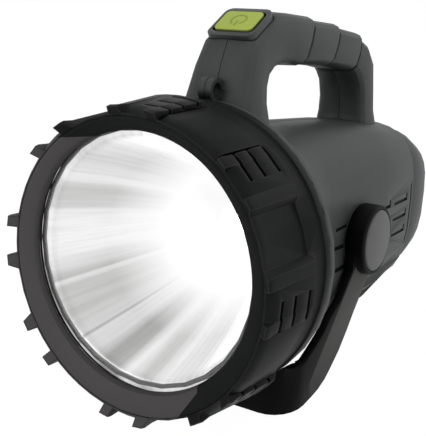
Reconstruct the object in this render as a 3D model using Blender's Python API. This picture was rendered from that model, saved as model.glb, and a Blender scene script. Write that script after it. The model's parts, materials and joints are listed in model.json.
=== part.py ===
"""Rechargeable hand-held searchlight with a carrying handle and a swinging stand.

Everything is modelled in the lamp's own frame: the beam leaves along -Y, +Z is up, and +X is on
the right when the lamp is seen from the front. The lamp hangs on one empty, which is tipped back
until the stand's sole and the heel of the barrel rest on one floor. Lengths are in metres.
"""
import math

import bmesh
import bpy
from mathutils import Matrix, Vector

# Fits
FIT_GAP = 0.0003
CUT_OVERRUN = 0.002
SEAM_GAP = 0.0003

# Head: the lens opening is a circle on the lens axis, the ring round it sits a little lower
LENS_OPENING_RADIUS = 0.058
LENS_RISE = 0.003
HEAD_RADIUS = 0.0708
LIP_RADIUS = 0.068
LIP_REACH = 0.0032
HEAD_DEPTH = 0.0505

# Front bezel
BEZEL_CLEAR_RADIUS = 0.0568
BEZEL_RIM_DEPTH = 0.0028
BEZEL_SKIRT_DEPTH = 0.016
BEZEL_WALL = 0.0012
BEZEL_LIP_INSET = 0.0016

# Lens, gasket and reflector
LENS_RADIUS = 0.0590
LENS_THICKNESS = 0.003
LENS_EDGE_ROUND = 0.0004
GASKET_WIDTH = 0.0020
GASKET_THICKNESS = 0.0016
REFLECTOR_FLANGE = 0.002
REFLECTOR_MOUTH_RADIUS = 0.0564
REFLECTOR_FOCAL_LENGTH = 0.014
REFLECTOR_THROAT_RADIUS = 0.008
REFLECTOR_WALL = 0.0018

# Bumper ring: raised plates, slotted blocks and sunk panels, four of each pair round the head
BUMPER_PATTERNS = 4
PATTERN_TURN_DEG = 20.0
BLOCK_RISE = 0.0047
TOOTH_RISE = 0.0032
TOOTH_REACH = 0.0034
TOOTH_RUN = 0.006
SLOT_DEPTH = 0.0026
SLOT_LENGTH = 0.0022
STEP_RUN = 0.0003
FACET_SLACK = 0.0005
RIM_RISE = 0.0008

# Housing: the barrel behind the head, in two halves
COLLAR_RADIUS = 0.0655
COLLAR_LENGTH = 0.020
THROAT_RADIUS = 0.0615
BARREL_LENGTH = 0.1815
WALL = 0.003
LOUVRE_COUNT = 3
LOUVRE_PITCH = 0.0100
LOUVRE_LENGTH = 0.022
LOUVRE_HEIGHT = 0.0020
LOUVRE_HOOK = 0.0046
LOUVRE_DEPTH = 0.0014
LOUVRE_RISE = 0.0006
LOUVRE_COLUMN_PITCH = 0.028
LOUVRE_BACK = 0.0750
PANEL_BACK = 0.0806
PANEL_FRONT = 0.036
PANEL_TOP_RISE = 0.0100
PANEL_DROP = 0.0275
PANEL_GROOVE = 0.0016

# Handle
HANDLE_FRONT = 0.0592
HANDLE_BASE = 0.054
HANDLE_RISE = 0.0574
HANDLE_LENGTH = 0.162
HANDLE_WIDTH = 0.0315
HANDLE_WALL = 0.0028
SCALE_STEP = 0.0014
SCALE_STEP_RUN = 0.0006
EYELET_THICKNESS = 0.0072
EYELET_HOLE_RADIUS = 0.0035
EYELET_STRAND = 0.0025
EYELET_FORWARD = 0.0036
EYELET_DROP = 0.0006

# Button on the slope of the handle
FRAME_WIDTH = 0.0262
FRAME_LENGTH = 0.0246
FRAME_PROUD = 0.0018
FRAME_SUNK = 0.0028
FRAME_CORNER = 0.0042
BUTTON_WIDTH = 0.0226
BUTTON_LENGTH = 0.0172
BUTTON_CORNER = 0.0030
BUTTON_PROUD = 0.0012
BUTTON_THICKNESS = 0.0040
BUTTON_TRAVEL = 0.0012
STEM_RADIUS = 0.0024
FRAME_LEG_LENGTH = 0.0062
FRAME_LEG_THICKNESS = 0.0018
FRAME_LEG_WIDTH = 0.015
SWITCH_WELL_LENGTH = 0.0232
SLOPE_WALL = 0.0062
SWITCH_BODY = 0.0062
SWITCH_HEIGHT = 0.0032
SWITCH_BOARD_THICKNESS = 0.0012

# Pivots of the stand
PIVOT_BACK = 0.1475
PIVOT_DROP = 0.008
BOSS_RADIUS = 0.0190
BOSS_FACE = 0.0422
BOSS_DEPTH = 0.016
WASHER_THICKNESS = 0.0006
WASHER_RADIUS = 0.0160
HUB_RADIUS = 0.0194
HUB_RIM = 0.0008
ARM_THICKNESS = 0.0044
HUB_PROUD = 0.0006
HUB_LENGTH = 0.0100
CAP_RADIUS = 0.0170
CAP_SEAT_DEPTH = 0.0018
CAP_PROUD = 0.0007
SCREW_RADIUS = 0.0040
SCREW_HEAD_RADIUS = 0.0080
SCREW_HEAD_HEIGHT = 0.0024
SCREW_LENGTH = 0.0225

# Stand
STAND_REACH = 0.0855
STAND_SOLE_DROP = 0.0755
STAND_SOLE_LENGTH = 0.026
STAND_PLATE_HEIGHT = 0.0220
STAND_CORNER_RADIUS = 0.0165
STAND_ARCH_RADIUS = 0.0760
STAND_WEB = 0.0075

# Rear cap
CAP_LENGTH = 0.0492
CAP_STEP = 0.0010
CAP_WALL = 0.003
CAP_BOTTOM_STEP = 0.0035
PORT_RADIUS = 0.0062
PORT_DROP = 0.009
PORT_RECESS_WIDTH = 0.0205
PORT_RECESS_HEIGHT = 0.0235
PORT_RECESS_DEPTH = 0.0026
PORT_CORNER = 0.0010
COVER_GAP = 0.0005
COVER_THICKNESS = 0.0018
COVER_PLUG_RADIUS = 0.0052
COVER_PLUG_LENGTH = 0.0030
COVER_BARREL_RADIUS = 0.0009
SOCKET_WIDTH = 0.0140
SOCKET_HEIGHT = 0.0140
SOCKET_DEPTH = 0.0125
SOCKET_BORE_RADIUS = 0.0040

# Fasteners of the housing
BOSS_WIDTH = 0.0090
FASTENER_RADIUS = 0.0016
FASTENER_HEAD_RADIUS = 0.0030
FASTENER_HEAD_HEIGHT = 0.0018
FASTENER_LENGTH = 0.020
FASTENER_SEAT = 0.012
REAR_SCREW_SEAT = 0.009
REAR_BOSS_LENGTH = 0.016
RIB_THICKNESS = 0.0024

# Light engine
EMITTER_SIDE = 0.0070
EMITTER_THICKNESS = 0.0010
DOME_RADIUS = 0.0030
BOARD_RADIUS = 0.0135
BOARD_THICKNESS = 0.0016
SINK_RADIUS = 0.026
SINK_PLATE = 0.004
SINK_LENGTH = 0.026
FIN_THICKNESS = 0.0016
FIN_COUNT = 7

# Battery and electronics
CELL_RADIUS = 0.0092
CELL_LENGTH = 0.065
CELL_ROWS = 2
CRADLE_WALL = 0.002
CRADLE_FRONT = 0.118
CRADLE_FOOT_SPREAD = 0.010
CRADLE_FOOT_WIDTH = 0.005
CRADLE_FOOT_HEIGHT = 0.0068
STRIP_THICKNESS = 0.0004
CONTROL_BOARD_THICKNESS = 0.0016
CONTROL_BOARD_WIDTH = 0.040
CONTROL_BOARD_LENGTH = 0.058

# Distances along the axis that several pieces share
LENS_FRONT = BEZEL_RIM_DEPTH + FIT_GAP
GASKET_FRONT = LENS_FRONT + LENS_THICKNESS + FIT_GAP
REFLECTOR_FRONT = GASKET_FRONT + GASKET_THICKNESS + FIT_GAP
BARREL_BACK = HEAD_DEPTH + BARREL_LENGTH
HANDLE_TOP = HANDLE_BASE + HANDLE_RISE
ARM_INNER = BOSS_FACE + 2 * FIT_GAP + WASHER_THICKNESS + HUB_PROUD
ARM_OUTER = ARM_INNER + ARM_THICKNESS
HUB_OUTER = ARM_INNER - HUB_PROUD + HUB_LENGTH
PIVOT = Vector((0, PIVOT_BACK, -PIVOT_DROP))

# The barrel from head to rear: place along its length, then half width, height above and depth
# below the head's axis as shares of the head's radius, and the squareness of the section
barrel_station_shares = (
    (0.000, 1.000, 1.000, 1.000, 2.00),
    (0.020, 1.000, 1.000, 1.000, 2.00),
    (0.032, 0.955, 0.960, 0.970, 2.00),
    (0.058, 0.876, 0.890, 0.915, 2.10),
    (0.135, 0.750, 0.815, 0.880, 2.30),
    (0.234, 0.628, 0.775, 0.855, 2.50),
    (0.330, 0.600, 0.764, 0.842, 2.70),
    (0.430, 0.590, 0.760, 0.835, 2.80),
    (0.750, 0.588, 0.712, 0.826, 2.90),
    (1.000, 0.582, 0.652, 0.819, 3.00),
)

# The rear cap, as shares of its length and of the barrel's last section
cap_station_shares = (
    (0.00, 1.000, 1.000, 1.000),
    (0.35, 0.985, 0.915, 0.980),
    (0.65, 0.935, 0.770, 0.920),
    (0.85, 0.835, 0.590, 0.815),
    (0.95, 0.730, 0.450, 0.700),
    (1.00, 0.620, 0.340, 0.590),
)

# The handle from front foot to rear foot: inner edge and outer edge, each as shares of the
# handle's length and rise, then the width as a share of the grip's width
handle_station_shares = (
    (0.172, -0.180, -0.036, -0.180, 1.34),
    (0.160, 0.070, -0.027, 0.170, 1.28),
    (0.142, 0.220, 0.005, 0.370, 1.20),
    (0.148, 0.340, 0.032, 0.580, 1.12),
    (0.175, 0.440, 0.065, 0.770, 1.03),
    (0.215, 0.515, 0.1295, 0.880, 1.00),
    (0.262, 0.545, 0.194, 0.990, 1.00),
    (0.333, 0.545, 0.297, 1.000, 1.00),
    (0.380, 0.535, 0.441, 0.965, 1.00),
    (0.581, 0.515, 0.638, 0.905, 1.00),
    (0.778, 0.455, 0.828, 0.818, 1.00),
    (0.824, 0.384, 0.918, 0.707, 1.00),
    (0.860, 0.273, 0.975, 0.545, 1.00),
    (0.878, 0.120, 0.993, 0.273, 1.00),
    (0.882, -0.030, 1.000, 0.020, 1.04),
    (0.875, -0.180, 1.025, -0.200, 1.14),
    (0.867, -0.420, 1.050, -0.420, 1.20),
)
SLOPE_START = 4
SLOPE_END = 6
SCALE_STATIONS = (8, 9, 10)

# Rise of the bumper's surface over its cone: shares of its length, and of a block's rise
block_rise_shares = ((0.0, 0.0), (0.03, 0.30), (0.097, 0.62), (0.30, 0.94), (0.603, 1.0), (0.743, 0.0))
plate_rise_shares = ((0.0, 0.0), (0.03, 0.22), (0.097, 0.45), (0.55, 0.51), (0.603, 0.47), (0.67, 0.0))
panel_rise_shares = ((0.0, 0.0), (0.097, -0.10), (0.640, -0.22), (0.646, 0.0))
bumper_shares = (0.0, 0.03, 0.097, 0.603, 0.640, 0.646, 0.67, 0.743)
slot_start_shares = (0.135, 0.311, 0.507)
louvre_columns = (0, 1, 3)
rim_start_share = 0.912

# Degrees from the middle of a sunk panel to the middle of a raised plate
PANEL_HALF_DEG = 9.3
BLOCK_START_DEG = 11.2
SLOT_START_DEG = 20.5
BLOCK_END_DEG = 31.0
TOOTH_WIDTH_DEG = 4.2
GROOVE_WIDTH_DEG = 1.4
HALF_PATTERN_DEG = 45.0
STEP_DEG = 0.25

# Screws that hold the halves together: shares of the barrel's length, and of its half height
housing_screw_shares = ((0.29, -0.62), (0.29, 0.50), (0.86, -0.62), (0.86, 0.44))

# Screws that hold the rear cap: shares of the barrel's half width and half height inside
rear_screw_shares = ((0.70, 0.62), (-0.70, 0.62), (0.70, -0.70), (-0.70, -0.70))

# The stand's side outline from the pivot, as shares of the sole's drop: the front edge downwards,
# then the rear edge upwards
stand_front_shares = (
    (-0.254, -0.193), (-0.409, -0.360), (-0.503, -0.480), (-0.600, -0.565), (-0.730, -0.632),
    (-0.840, -0.685),
)
stand_rear_shares = (
    (-0.698, -0.930), (-0.596, -0.889), (-0.531, -0.846), (-0.392, -0.742), (-0.277, -0.625),
    (-0.176, -0.509),
)

# The front ends of the hollows: where the barrel's hollow narrows, and how far the handle's
# hollow runs past its first and its last section
throat_share = 0.025
hollow_front_shares = (0.22, 0.03)
hollow_rear_share = 0.15
handle_squareness_share = 4.2
socket_bore_share = 0.8

colours = {
    "housing": (0.075, 0.082, 0.078),
    "armour": (0.014, 0.014, 0.014),
    "bezel": (0.060, 0.056, 0.056),
    "lens": (0.90, 0.93, 0.95),
    "rubber": (0.02, 0.02, 0.02),
    "reflector": (0.90, 0.90, 0.92),
    "emitter": (0.95, 0.85, 0.35),
    "board": (0.85, 0.85, 0.82),
    "aluminium": (0.60, 0.61, 0.62),
    "cell": (0.05, 0.25, 0.45),
    "cradle": (0.03, 0.03, 0.03),
    "nickel": (0.62, 0.60, 0.56),
    "circuit": (0.02, 0.16, 0.07),
    "lime": (0.42, 0.54, 0.035),
    "steel": (0.55, 0.55, 0.56),
    "cap": (0.115, 0.125, 0.115),
    "stand": (0.022, 0.022, 0.021),
    "washer": (0.75, 0.75, 0.72),
}
roughness_share = {
    "lens": 0.05, "reflector": 0.12, "aluminium": 0.35, "nickel": 0.30, "steel": 0.30,
    "armour": 0.38, "housing": 0.48, "bezel": 0.45, "lime": 0.40,
}
metals = ("reflector", "aluminium", "nickel", "steel")

for old in list(bpy.data.objects):
    bpy.data.objects.remove(old, do_unlink=True)


# Helpers: materials, objects and Booleans

def finish_material(colour_name):
    """One Principled material for each finish, made once."""
    found = bpy.data.materials.get(colour_name)
    if found:
        return found
    material = bpy.data.materials.new(colour_name)
    material.use_nodes = True
    shader = material.node_tree.nodes["Principled BSDF"]
    shader.inputs["Base Color"].default_value = (*colours[colour_name], 1.0)
    shader.inputs["Roughness"].default_value = roughness_share.get(colour_name, 0.5)
    shader.inputs["Metallic"].default_value = 1.0 if colour_name in metals else 0.0
    if colour_name == "lens":
        shader.inputs["Transmission Weight"].default_value = 1.0
    return material


def add_empty(name, place, parent=None):
    empty = bpy.data.objects.new(name, None)
    bpy.context.collection.objects.link(empty)
    empty.parent = parent
    empty.location = place
    return empty


lamp = add_empty("lamp", Vector((0, 0, 0)))


def add_object(name, shape, colour_name, parent=None, cutter=False):
    """Turn a bmesh into an object under the lamp, shaded smooth with sharp edges kept."""
    bmesh.ops.recalc_face_normals(shape, faces=shape.faces)
    mesh = bpy.data.meshes.new(name)
    shape.to_mesh(mesh)
    shape.free()
    mesh.shade_smooth()
    mesh.set_sharp_from_angle(angle=math.radians(35))
    made = bpy.data.objects.new(name, mesh)
    bpy.context.collection.objects.link(made)
    made.data.materials.append(finish_material(colour_name))
    made.parent = parent or lamp
    if cutter:
        made.hide_render = True
        made.display_type = "WIRE"
    return made


def combine(target, tool, operation):
    """Add, cut or keep the tool's volume, with the tool left as a guide."""
    tool.hide_render = True
    tool.display_type = "WIRE"
    step = target.modifiers.new(operation.lower() + "_" + tool.name, "BOOLEAN")
    step.operation = operation
    step.solver = "EXACT"
    step.object = tool


def settle(made):
    """Replace an object's mesh by what its modifiers give."""
    bpy.context.view_layer.update()
    graph = bpy.context.evaluated_depsgraph_get()
    mesh = bpy.data.meshes.new_from_object(made.evaluated_get(graph))
    made.modifiers.clear()
    made.data = mesh


# Helpers: shapes

def loft(rings, closed=False):
    """Skin a row of rings of equal length; cap the ends unless the row closes on itself."""
    shape = bmesh.new()
    rows = [[shape.verts.new(point) for point in ring] for ring in rings]
    pairs = list(zip(rows, rows[1:]))
    if closed:
        pairs.append((rows[-1], rows[0]))
    for first, second in pairs:
        for index in range(len(first)):
            after = (index + 1) % len(first)
            shape.faces.new((first[index], first[after], second[after], second[index]))
    if not closed:
        shape.faces.new(list(reversed(rows[0])))
        shape.faces.new(rows[-1])
    return shape


def circle(radius, back, segments, rise=0.0):
    """Points of a circle round the beam's axis, at a distance back from the lens opening."""
    turns = [2 * math.pi * index / segments for index in range(segments)]
    return [Vector((radius * math.cos(t), back, rise + radius * math.sin(t))) for t in turns]


def turned(profile, segments, rise=0.0):
    """A solid of revolution from (radius, distance back) pairs, closed by flat ends."""
    return loft([circle(radius, back, segments, rise) for radius, back in profile])


def turned_ring(profile, segments, rise=0.0):
    """A ring of revolution from a closed outline of (radius, distance back) pairs."""
    rings = [circle(radius, back, segments, rise) for radius, back in profile]
    return loft(rings, closed=True)


def superellipse(half_width, above, below, squareness, count):
    """Section in X and Z: round for a squareness of 2, nearly a rectangle for 4."""
    points = []
    for index in range(count):
        turn = 2 * math.pi * index / count
        across = math.copysign(abs(math.cos(turn)) ** (2 / squareness), math.cos(turn))
        up = math.copysign(abs(math.sin(turn)) ** (2 / squareness), math.sin(turn))
        points.append((half_width * across, (above if up > 0 else below) * up))
    return points


def box(low, high):
    """A block between two corners."""
    shape = bmesh.new()
    bmesh.ops.create_cube(shape, size=1.0)
    low, high = Vector(low), Vector(high)
    place = Matrix.Translation((low + high) / 2) @ Matrix.Diagonal((*(high - low), 1.0))
    bmesh.ops.transform(shape, matrix=place, verts=shape.verts)
    return shape


def extruded(outline, low, high, axis):
    """Extrude a flat outline between two distances along X, Y or Z."""
    def place(pair, distance):
        point = list(pair)
        point.insert(axis, distance)
        return Vector(point)
    return loft([[place(pair, low) for pair in outline], [place(pair, high) for pair in outline]])


def rounded_rectangle(width, height, radius, steps=4):
    """Outline of a rectangle with round corners, centred on the origin."""
    points = []
    for corner, (side, level) in enumerate(((1, 1), (-1, 1), (-1, -1), (1, -1))):
        centre = Vector((side * (width / 2 - radius), level * (height / 2 - radius)))
        for step in range(steps + 1):
            turn = math.pi / 2 * (corner + step / steps)
            points.append(centre + radius * Vector((math.cos(turn), math.sin(turn))))
    return points


def on_x(shape, place=Vector((0, 0, 0)), side=1):
    """Turn a shape that was made along Y so that it points along +X or -X, and place it."""
    turn = Matrix.Rotation(-side * math.pi / 2, 4, "Z")
    bmesh.ops.transform(shape, matrix=Matrix.Translation(place) @ turn, verts=shape.verts)
    return shape


def moved(shape, matrix):
    bmesh.ops.transform(shape, matrix=matrix, verts=shape.verts)
    return shape


def merge(shapes):
    """Put several shapes that stay apart from each other into one cutter."""
    whole = bmesh.new()
    for shape in shapes:
        mesh = bpy.data.meshes.new("part_of_cutter")
        shape.to_mesh(mesh)
        shape.free()
        whole.from_mesh(mesh)
        bpy.data.meshes.remove(mesh)
    return whole


# Front of the head

def build_bezel():
    """Funnel ring: from the lip down to the lens opening, with a skirt behind for the lens."""
    segments = 54
    skirt = LENS_RADIUS + FIT_GAP + BEZEL_WALL
    outer = LIP_RADIUS - BEZEL_LIP_INSET
    outline = (
        (LENS_OPENING_RADIUS, 0.0, LENS_RISE),
        (outer, -LIP_REACH + FIT_GAP, 0.0),
        (outer, BEZEL_SKIRT_DEPTH, 0.0),
        (skirt, BEZEL_SKIRT_DEPTH, LENS_RISE),
        (skirt, BEZEL_RIM_DEPTH, LENS_RISE),
        (BEZEL_CLEAR_RADIUS, BEZEL_RIM_DEPTH, LENS_RISE),
    )
    rings = [circle(radius, back, segments, rise) for radius, back, rise in outline]
    return add_object("front_bezel", loft(rings, closed=True), "bezel")


def build_lens():
    profile = (
        (LENS_RADIUS - LENS_EDGE_ROUND, LENS_FRONT),
        (LENS_RADIUS, LENS_FRONT + LENS_EDGE_ROUND),
        (LENS_RADIUS, LENS_FRONT + LENS_THICKNESS),
    )
    return add_object("lens", turned(profile, 54, LENS_RISE), "lens")


def build_gasket():
    inner = LENS_RADIUS - GASKET_WIDTH
    back = GASKET_FRONT + GASKET_THICKNESS
    profile = ((inner, GASKET_FRONT), (LENS_RADIUS, GASKET_FRONT), (LENS_RADIUS, back), (inner, back))
    return add_object("lens_gasket", turned_ring(profile, 28, LENS_RISE), "rubber")


def bowl_back(radius):
    """Distance back of the reflecting parabola at a radius."""
    fall = (REFLECTOR_MOUTH_RADIUS ** 2 - radius ** 2) / (4 * REFLECTOR_FOCAL_LENGTH)
    return REFLECTOR_FRONT + fall


REFLECTOR_BACK = bowl_back(REFLECTOR_THROAT_RADIUS)


def build_reflector():
    """Deep parabolic bowl with a flange that is clamped behind the lens gasket."""
    steps = 6
    flange = LENS_RADIUS
    inner = []
    for step in range(steps + 1):
        share = step / steps
        radius = REFLECTOR_MOUTH_RADIUS + share * (REFLECTOR_THROAT_RADIUS - REFLECTOR_MOUTH_RADIUS)
        inner.append((radius, bowl_back(radius)))
    flange_back = REFLECTOR_FRONT + REFLECTOR_FLANGE
    outer = [(radius + REFLECTOR_WALL, back) for radius, back in inner if back > flange_back]
    outline = inner + list(reversed(outer))
    outline += [(REFLECTOR_MOUTH_RADIUS + REFLECTOR_WALL, flange_back), (flange, flange_back)]
    outline += [(flange, REFLECTOR_FRONT)]
    return add_object("reflector", turned_ring(outline, 24, LENS_RISE), "reflector")


# Light engine

def build_light_engine():
    board_front = REFLECTOR_BACK + FIT_GAP
    board_back = board_front + BOARD_THICKNESS
    profile = ((BOARD_RADIUS, board_front), (BOARD_RADIUS, board_back))
    add_object("led_board", turned(profile, 32, LENS_RISE), "board")

    half = EMITTER_SIDE / 2
    seat = board_front - FIT_GAP
    front = seat - EMITTER_THICKNESS
    emitter = add_object("led_emitter", box((-half, front, LENS_RISE - half),
                                            (half, seat, LENS_RISE + half)), "emitter")
    dome = []
    for step in range(5):
        turn = math.pi / 2 * step / 5
        dome.append((DOME_RADIUS * math.cos(turn), front - DOME_RADIUS * math.sin(turn)))
    dome.insert(0, (DOME_RADIUS, front + EMITTER_THICKNESS / 2))
    cover = add_object("dome_guide", turned(dome, 16, LENS_RISE), "emitter", cutter=True)
    combine(emitter, cover, "UNION")

    sink_front = board_back + FIT_GAP
    plate_back = sink_front + SINK_PLATE
    profile = ((SINK_RADIUS, sink_front), (SINK_RADIUS, plate_back))
    sink = add_object("heat_sink", turned(profile, 32, LENS_RISE), "aluminium")
    fins = []
    spacing = 2 * SINK_RADIUS / (FIN_COUNT + 1)
    for index in range(FIN_COUNT):
        across = (index - (FIN_COUNT - 1) / 2) * spacing
        reach = math.sqrt(SINK_RADIUS ** 2 - (abs(across) + FIN_THICKNESS) ** 2)
        low = (across - FIN_THICKNESS / 2, plate_back - SINK_PLATE / 2, LENS_RISE - reach)
        high = (across + FIN_THICKNESS / 2, sink_front + SINK_LENGTH, LENS_RISE + reach)
        fins.append(box(low, high))
    fin_guide = add_object("fin_guide", merge(fins), "aluminium", cutter=True)
    combine(sink, fin_guide, "UNION")


# Bumper ring

def rise_at(table, share):
    """Rise from a table of shares, with plain runs between its rows."""
    if share >= table[-1][0]:
        return table[-1][1]
    for first, second in zip(table, table[1:]):
        if share <= second[0]:
            break
    mix = (share - first[0]) / (second[0] - first[0])
    return first[1] + mix * (second[1] - first[1])


def bumper_angles():
    """Angles of the pattern's edges, in degrees from a panel's middle, with a pair at each wall.

    Each row holds the angle, the surface there, and whether a tooth stands at the front."""
    tooth_in = BLOCK_START_DEG + TOOTH_WIDTH_DEG
    tooth_out = BLOCK_END_DEG - TOOTH_WIDTH_DEG
    plate_start = BLOCK_END_DEG + STEP_DEG + GROOVE_WIDTH_DEG
    half = [
        (PANEL_HALF_DEG, "panel", False), (BLOCK_START_DEG, "block", True),
        (tooth_in, "block", True), (tooth_in + STEP_DEG, "block", False),
        (SLOT_START_DEG, "block", False), (tooth_out - STEP_DEG, "block", False),
        (tooth_out, "block", True), (BLOCK_END_DEG, "block", True),
        (BLOCK_END_DEG + STEP_DEG, "groove", False), (plate_start - STEP_DEG, "groove", False),
        (plate_start, "plate", False), ((plate_start + HALF_PATTERN_DEG) / 2, "plate", False),
    ]
    ahead = [(0.0, "panel", False)] + half + [(HALF_PATTERN_DEG, "plate", False)]
    behind = [(2 * HALF_PATTERN_DEG - angle, zone, tooth) for angle, zone, tooth in reversed(half)]
    return ahead + behind


def bumper_stations():
    """Places from the lip to the rim, as shares of the length, and whether the rim starts there."""
    step_share = STEP_RUN / (HEAD_DEPTH + LIP_REACH)
    stations = [(share, False) for share in bumper_shares]
    stations += [(rim_start_share - step_share, False), (rim_start_share, True), (1.0, True)]
    return stations


def bumper_radius(share, rim, zone, tooth):
    """Distance of the ring's outer surface from the head's axis."""
    base = LIP_RADIUS + share * (HEAD_RADIUS - RIM_RISE - LIP_RADIUS)
    if rim:
        return HEAD_RADIUS
    if zone in ("panel", "groove"):
        return base + BLOCK_RISE * rise_at(panel_rise_shares, share)
    if zone == "plate":
        return base + BLOCK_RISE * rise_at(plate_rise_shares, share)
    rise = BLOCK_RISE * rise_at(block_rise_shares, share)
    if tooth:
        fade = 1 - share * (HEAD_DEPTH + LIP_REACH) / TOOTH_RUN
        rise += TOOTH_RISE * max(0.0, fade)
    return base + rise


def slot_cutters():
    """Three short slots across each block, from its middle out through the end beside the plate."""
    length = HEAD_DEPTH + LIP_REACH
    shapes = []
    for pattern in range(BUMPER_PATTERNS):
        for mirror in (1, -1):
            for start in slot_start_shares:
                top = bumper_radius(start, False, "block", False)
                middle_deg = (SLOT_START_DEG + BLOCK_END_DEG) / 2
                half = top * math.tan(math.radians(BLOCK_END_DEG - middle_deg)) + STEP_RUN
                front = start * length - LIP_REACH
                cutter = box((top - SLOT_DEPTH, front, -half), (top + CUT_OVERRUN, front + SLOT_LENGTH, half))
                turn = PATTERN_TURN_DEG + pattern * 2 * HALF_PATTERN_DEG + mirror * middle_deg
                shapes.append(moved(cutter, Matrix.Rotation(math.radians(-turn), 4, "Y")))
    return merge(shapes)


def build_bumper():
    """Armoured ring round the head, skinned from a surface of blocks, slots, plates and panels."""
    stations = bumper_stations()
    inner = LIP_RADIUS - BEZEL_LIP_INSET + FIT_GAP + FACET_SLACK
    length = HEAD_DEPTH + LIP_REACH - FIT_GAP
    shape = bmesh.new()
    columns = []
    for pattern in range(BUMPER_PATTERNS):
        for offset, zone, tooth in bumper_angles():
            turn = math.radians(offset + PATTERN_TURN_DEG + pattern * 360 / BUMPER_PATTERNS)
            across, up = math.cos(turn), math.sin(turn)
            column = []
            for share, rim in stations:
                radius = bumper_radius(share, rim, zone, tooth)
                fade = max(0.0, 1 - share * length / TOOTH_RUN)
                back = share * length - LIP_REACH - (TOOTH_REACH * fade if tooth else 0.0)
                column.append(shape.verts.new((radius * across, back, radius * up)))
            for back in (length - LIP_REACH, -LIP_REACH):
                column.append(shape.verts.new((inner * across, back, inner * up)))
            columns.append(column)
    for index, column in enumerate(columns):
        after = columns[(index + 1) % len(columns)]
        for row in range(len(column)):
            under = (row + 1) % len(column)
            shape.faces.new((column[row], column[under], after[under], after[row]))
    ring = add_object("bumper_ring", shape, "armour")
    combine(ring, add_object("slot_guide", slot_cutters(), "armour", cutter=True), "DIFFERENCE")


# Housing

def barrel_station(share):
    """Half width, height above, depth below and squareness at a share of the barrel's length."""
    rows = barrel_station_shares
    for first, second in zip(rows, rows[1:]):
        if share <= second[0]:
            break
    mix = (share - first[0]) / (second[0] - first[0])
    values = [a + mix * (b - a) for a, b in zip(first[1:], second[1:])]
    return values[0] * HEAD_RADIUS, values[1] * HEAD_RADIUS, values[2] * HEAD_RADIUS, values[3]


def barrel_ring(share, inset=0.0, limit=None, back=None, count=32):
    half_width, above, below, squareness = barrel_station(share)
    sizes = [max(value - inset, 0.0) for value in (half_width, above, below)]
    if limit:
        sizes = [min(value, limit) for value in sizes]
    place = HEAD_DEPTH + share * BARREL_LENGTH if back is None else back
    section = superellipse(*sizes, squareness, count)
    return [Vector((across, place, up)) for across, up in section]


def handle_point(along, up):
    return HANDLE_FRONT + along * HANDLE_LENGTH, HANDLE_BASE + up * HANDLE_RISE


def handle_section(station, inset=0.0, growth=0.0, shift=0.0, count=16):
    """A rounded section of the handle between its inner and its outer edge."""
    inner = Vector((0, *handle_point(*station[0:2])))
    outer = Vector((0, *handle_point(*station[2:4])))
    lift = (outer - inner).normalized()
    ahead = Vector((0, lift.z, -lift.y))
    middle = (inner + outer) / 2 + ahead * shift
    half_height = (outer - inner).length / 2 - inset + growth
    half_width = station[4] * HANDLE_WIDTH / 2 - inset + growth
    section = superellipse(half_width, half_height, half_height, handle_squareness_share, count)
    return [middle + Vector((across, 0, 0)) + lift * up for across, up in section]


def build_handle_guide():
    rings = []
    for index, station in enumerate(handle_station_shares):
        if index in SCALE_STATIONS:
            rings.append(handle_section(station, growth=SCALE_STEP / 2))
            rings.append(handle_section(station, growth=-SCALE_STEP / 2, shift=SCALE_STEP_RUN))
        else:
            rings.append(handle_section(station))
    return add_object("handle_guide", loft(rings), "housing", cutter=True)


def build_handle_hollow():
    first, last = handle_station_shares[0], handle_station_shares[-1]
    down, back = hollow_front_shares
    deeper = (first[0], first[1] - down, first[2] + back, first[3] - down, first[4])
    deepest = (last[0], last[1] - hollow_rear_share, last[2], last[3] - hollow_rear_share, last[4])
    rows = [deeper, *handle_station_shares, deepest]
    rings = []
    for row in rows:
        on_slope = row in handle_station_shares[SLOPE_START:SLOPE_END + 1]
        rings.append(handle_section(row, inset=SLOPE_WALL if on_slope else HANDLE_WALL, count=8))
    return add_object("handle_hollow", loft(rings), "housing", cutter=True)


def slope_frame():
    """Place of the button: origin on the slope, X across, Y up the slope, Z out of it."""
    start = Vector((0, *handle_point(*handle_station_shares[SLOPE_START][2:4])))
    end = Vector((0, *handle_point(*handle_station_shares[SLOPE_END][2:4])))
    up_slope = (end - start).normalized()
    out = Vector((0, -up_slope.z, up_slope.y))
    turn = Matrix((Vector((1, 0, 0)), up_slope, out)).transposed().to_4x4()
    return Matrix.Translation((start + end) / 2) @ turn


def slope_plate(width, length, corner, low, high):
    """A plate with round corners that lies on the button's slope."""
    outline = rounded_rectangle(width, length, corner)
    return moved(extruded(outline, low, high, 2), slope_frame())


def pocket_shape():
    """Stepped hole for the button's frame: a seat for the rim, then a deeper well for the switch."""
    seat = -FRAME_SUNK - FIT_GAP
    wide = rounded_rectangle(FRAME_WIDTH + 2 * FIT_GAP, FRAME_LENGTH + 2 * FIT_GAP, FRAME_CORNER)
    narrow = rounded_rectangle(BUTTON_WIDTH, SWITCH_WELL_LENGTH, BUTTON_CORNER)
    bottom = seat - FRAME_LEG_LENGTH - SWITCH_BOARD_THICKNESS - 2 * FIT_GAP
    levels = ((narrow, bottom), (narrow, seat), (wide, seat), (wide, 2 * CUT_OVERRUN))
    rings = [[Vector((*pair, level)) for pair in ring] for ring, level in levels]
    return moved(loft(rings), slope_frame())


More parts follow.
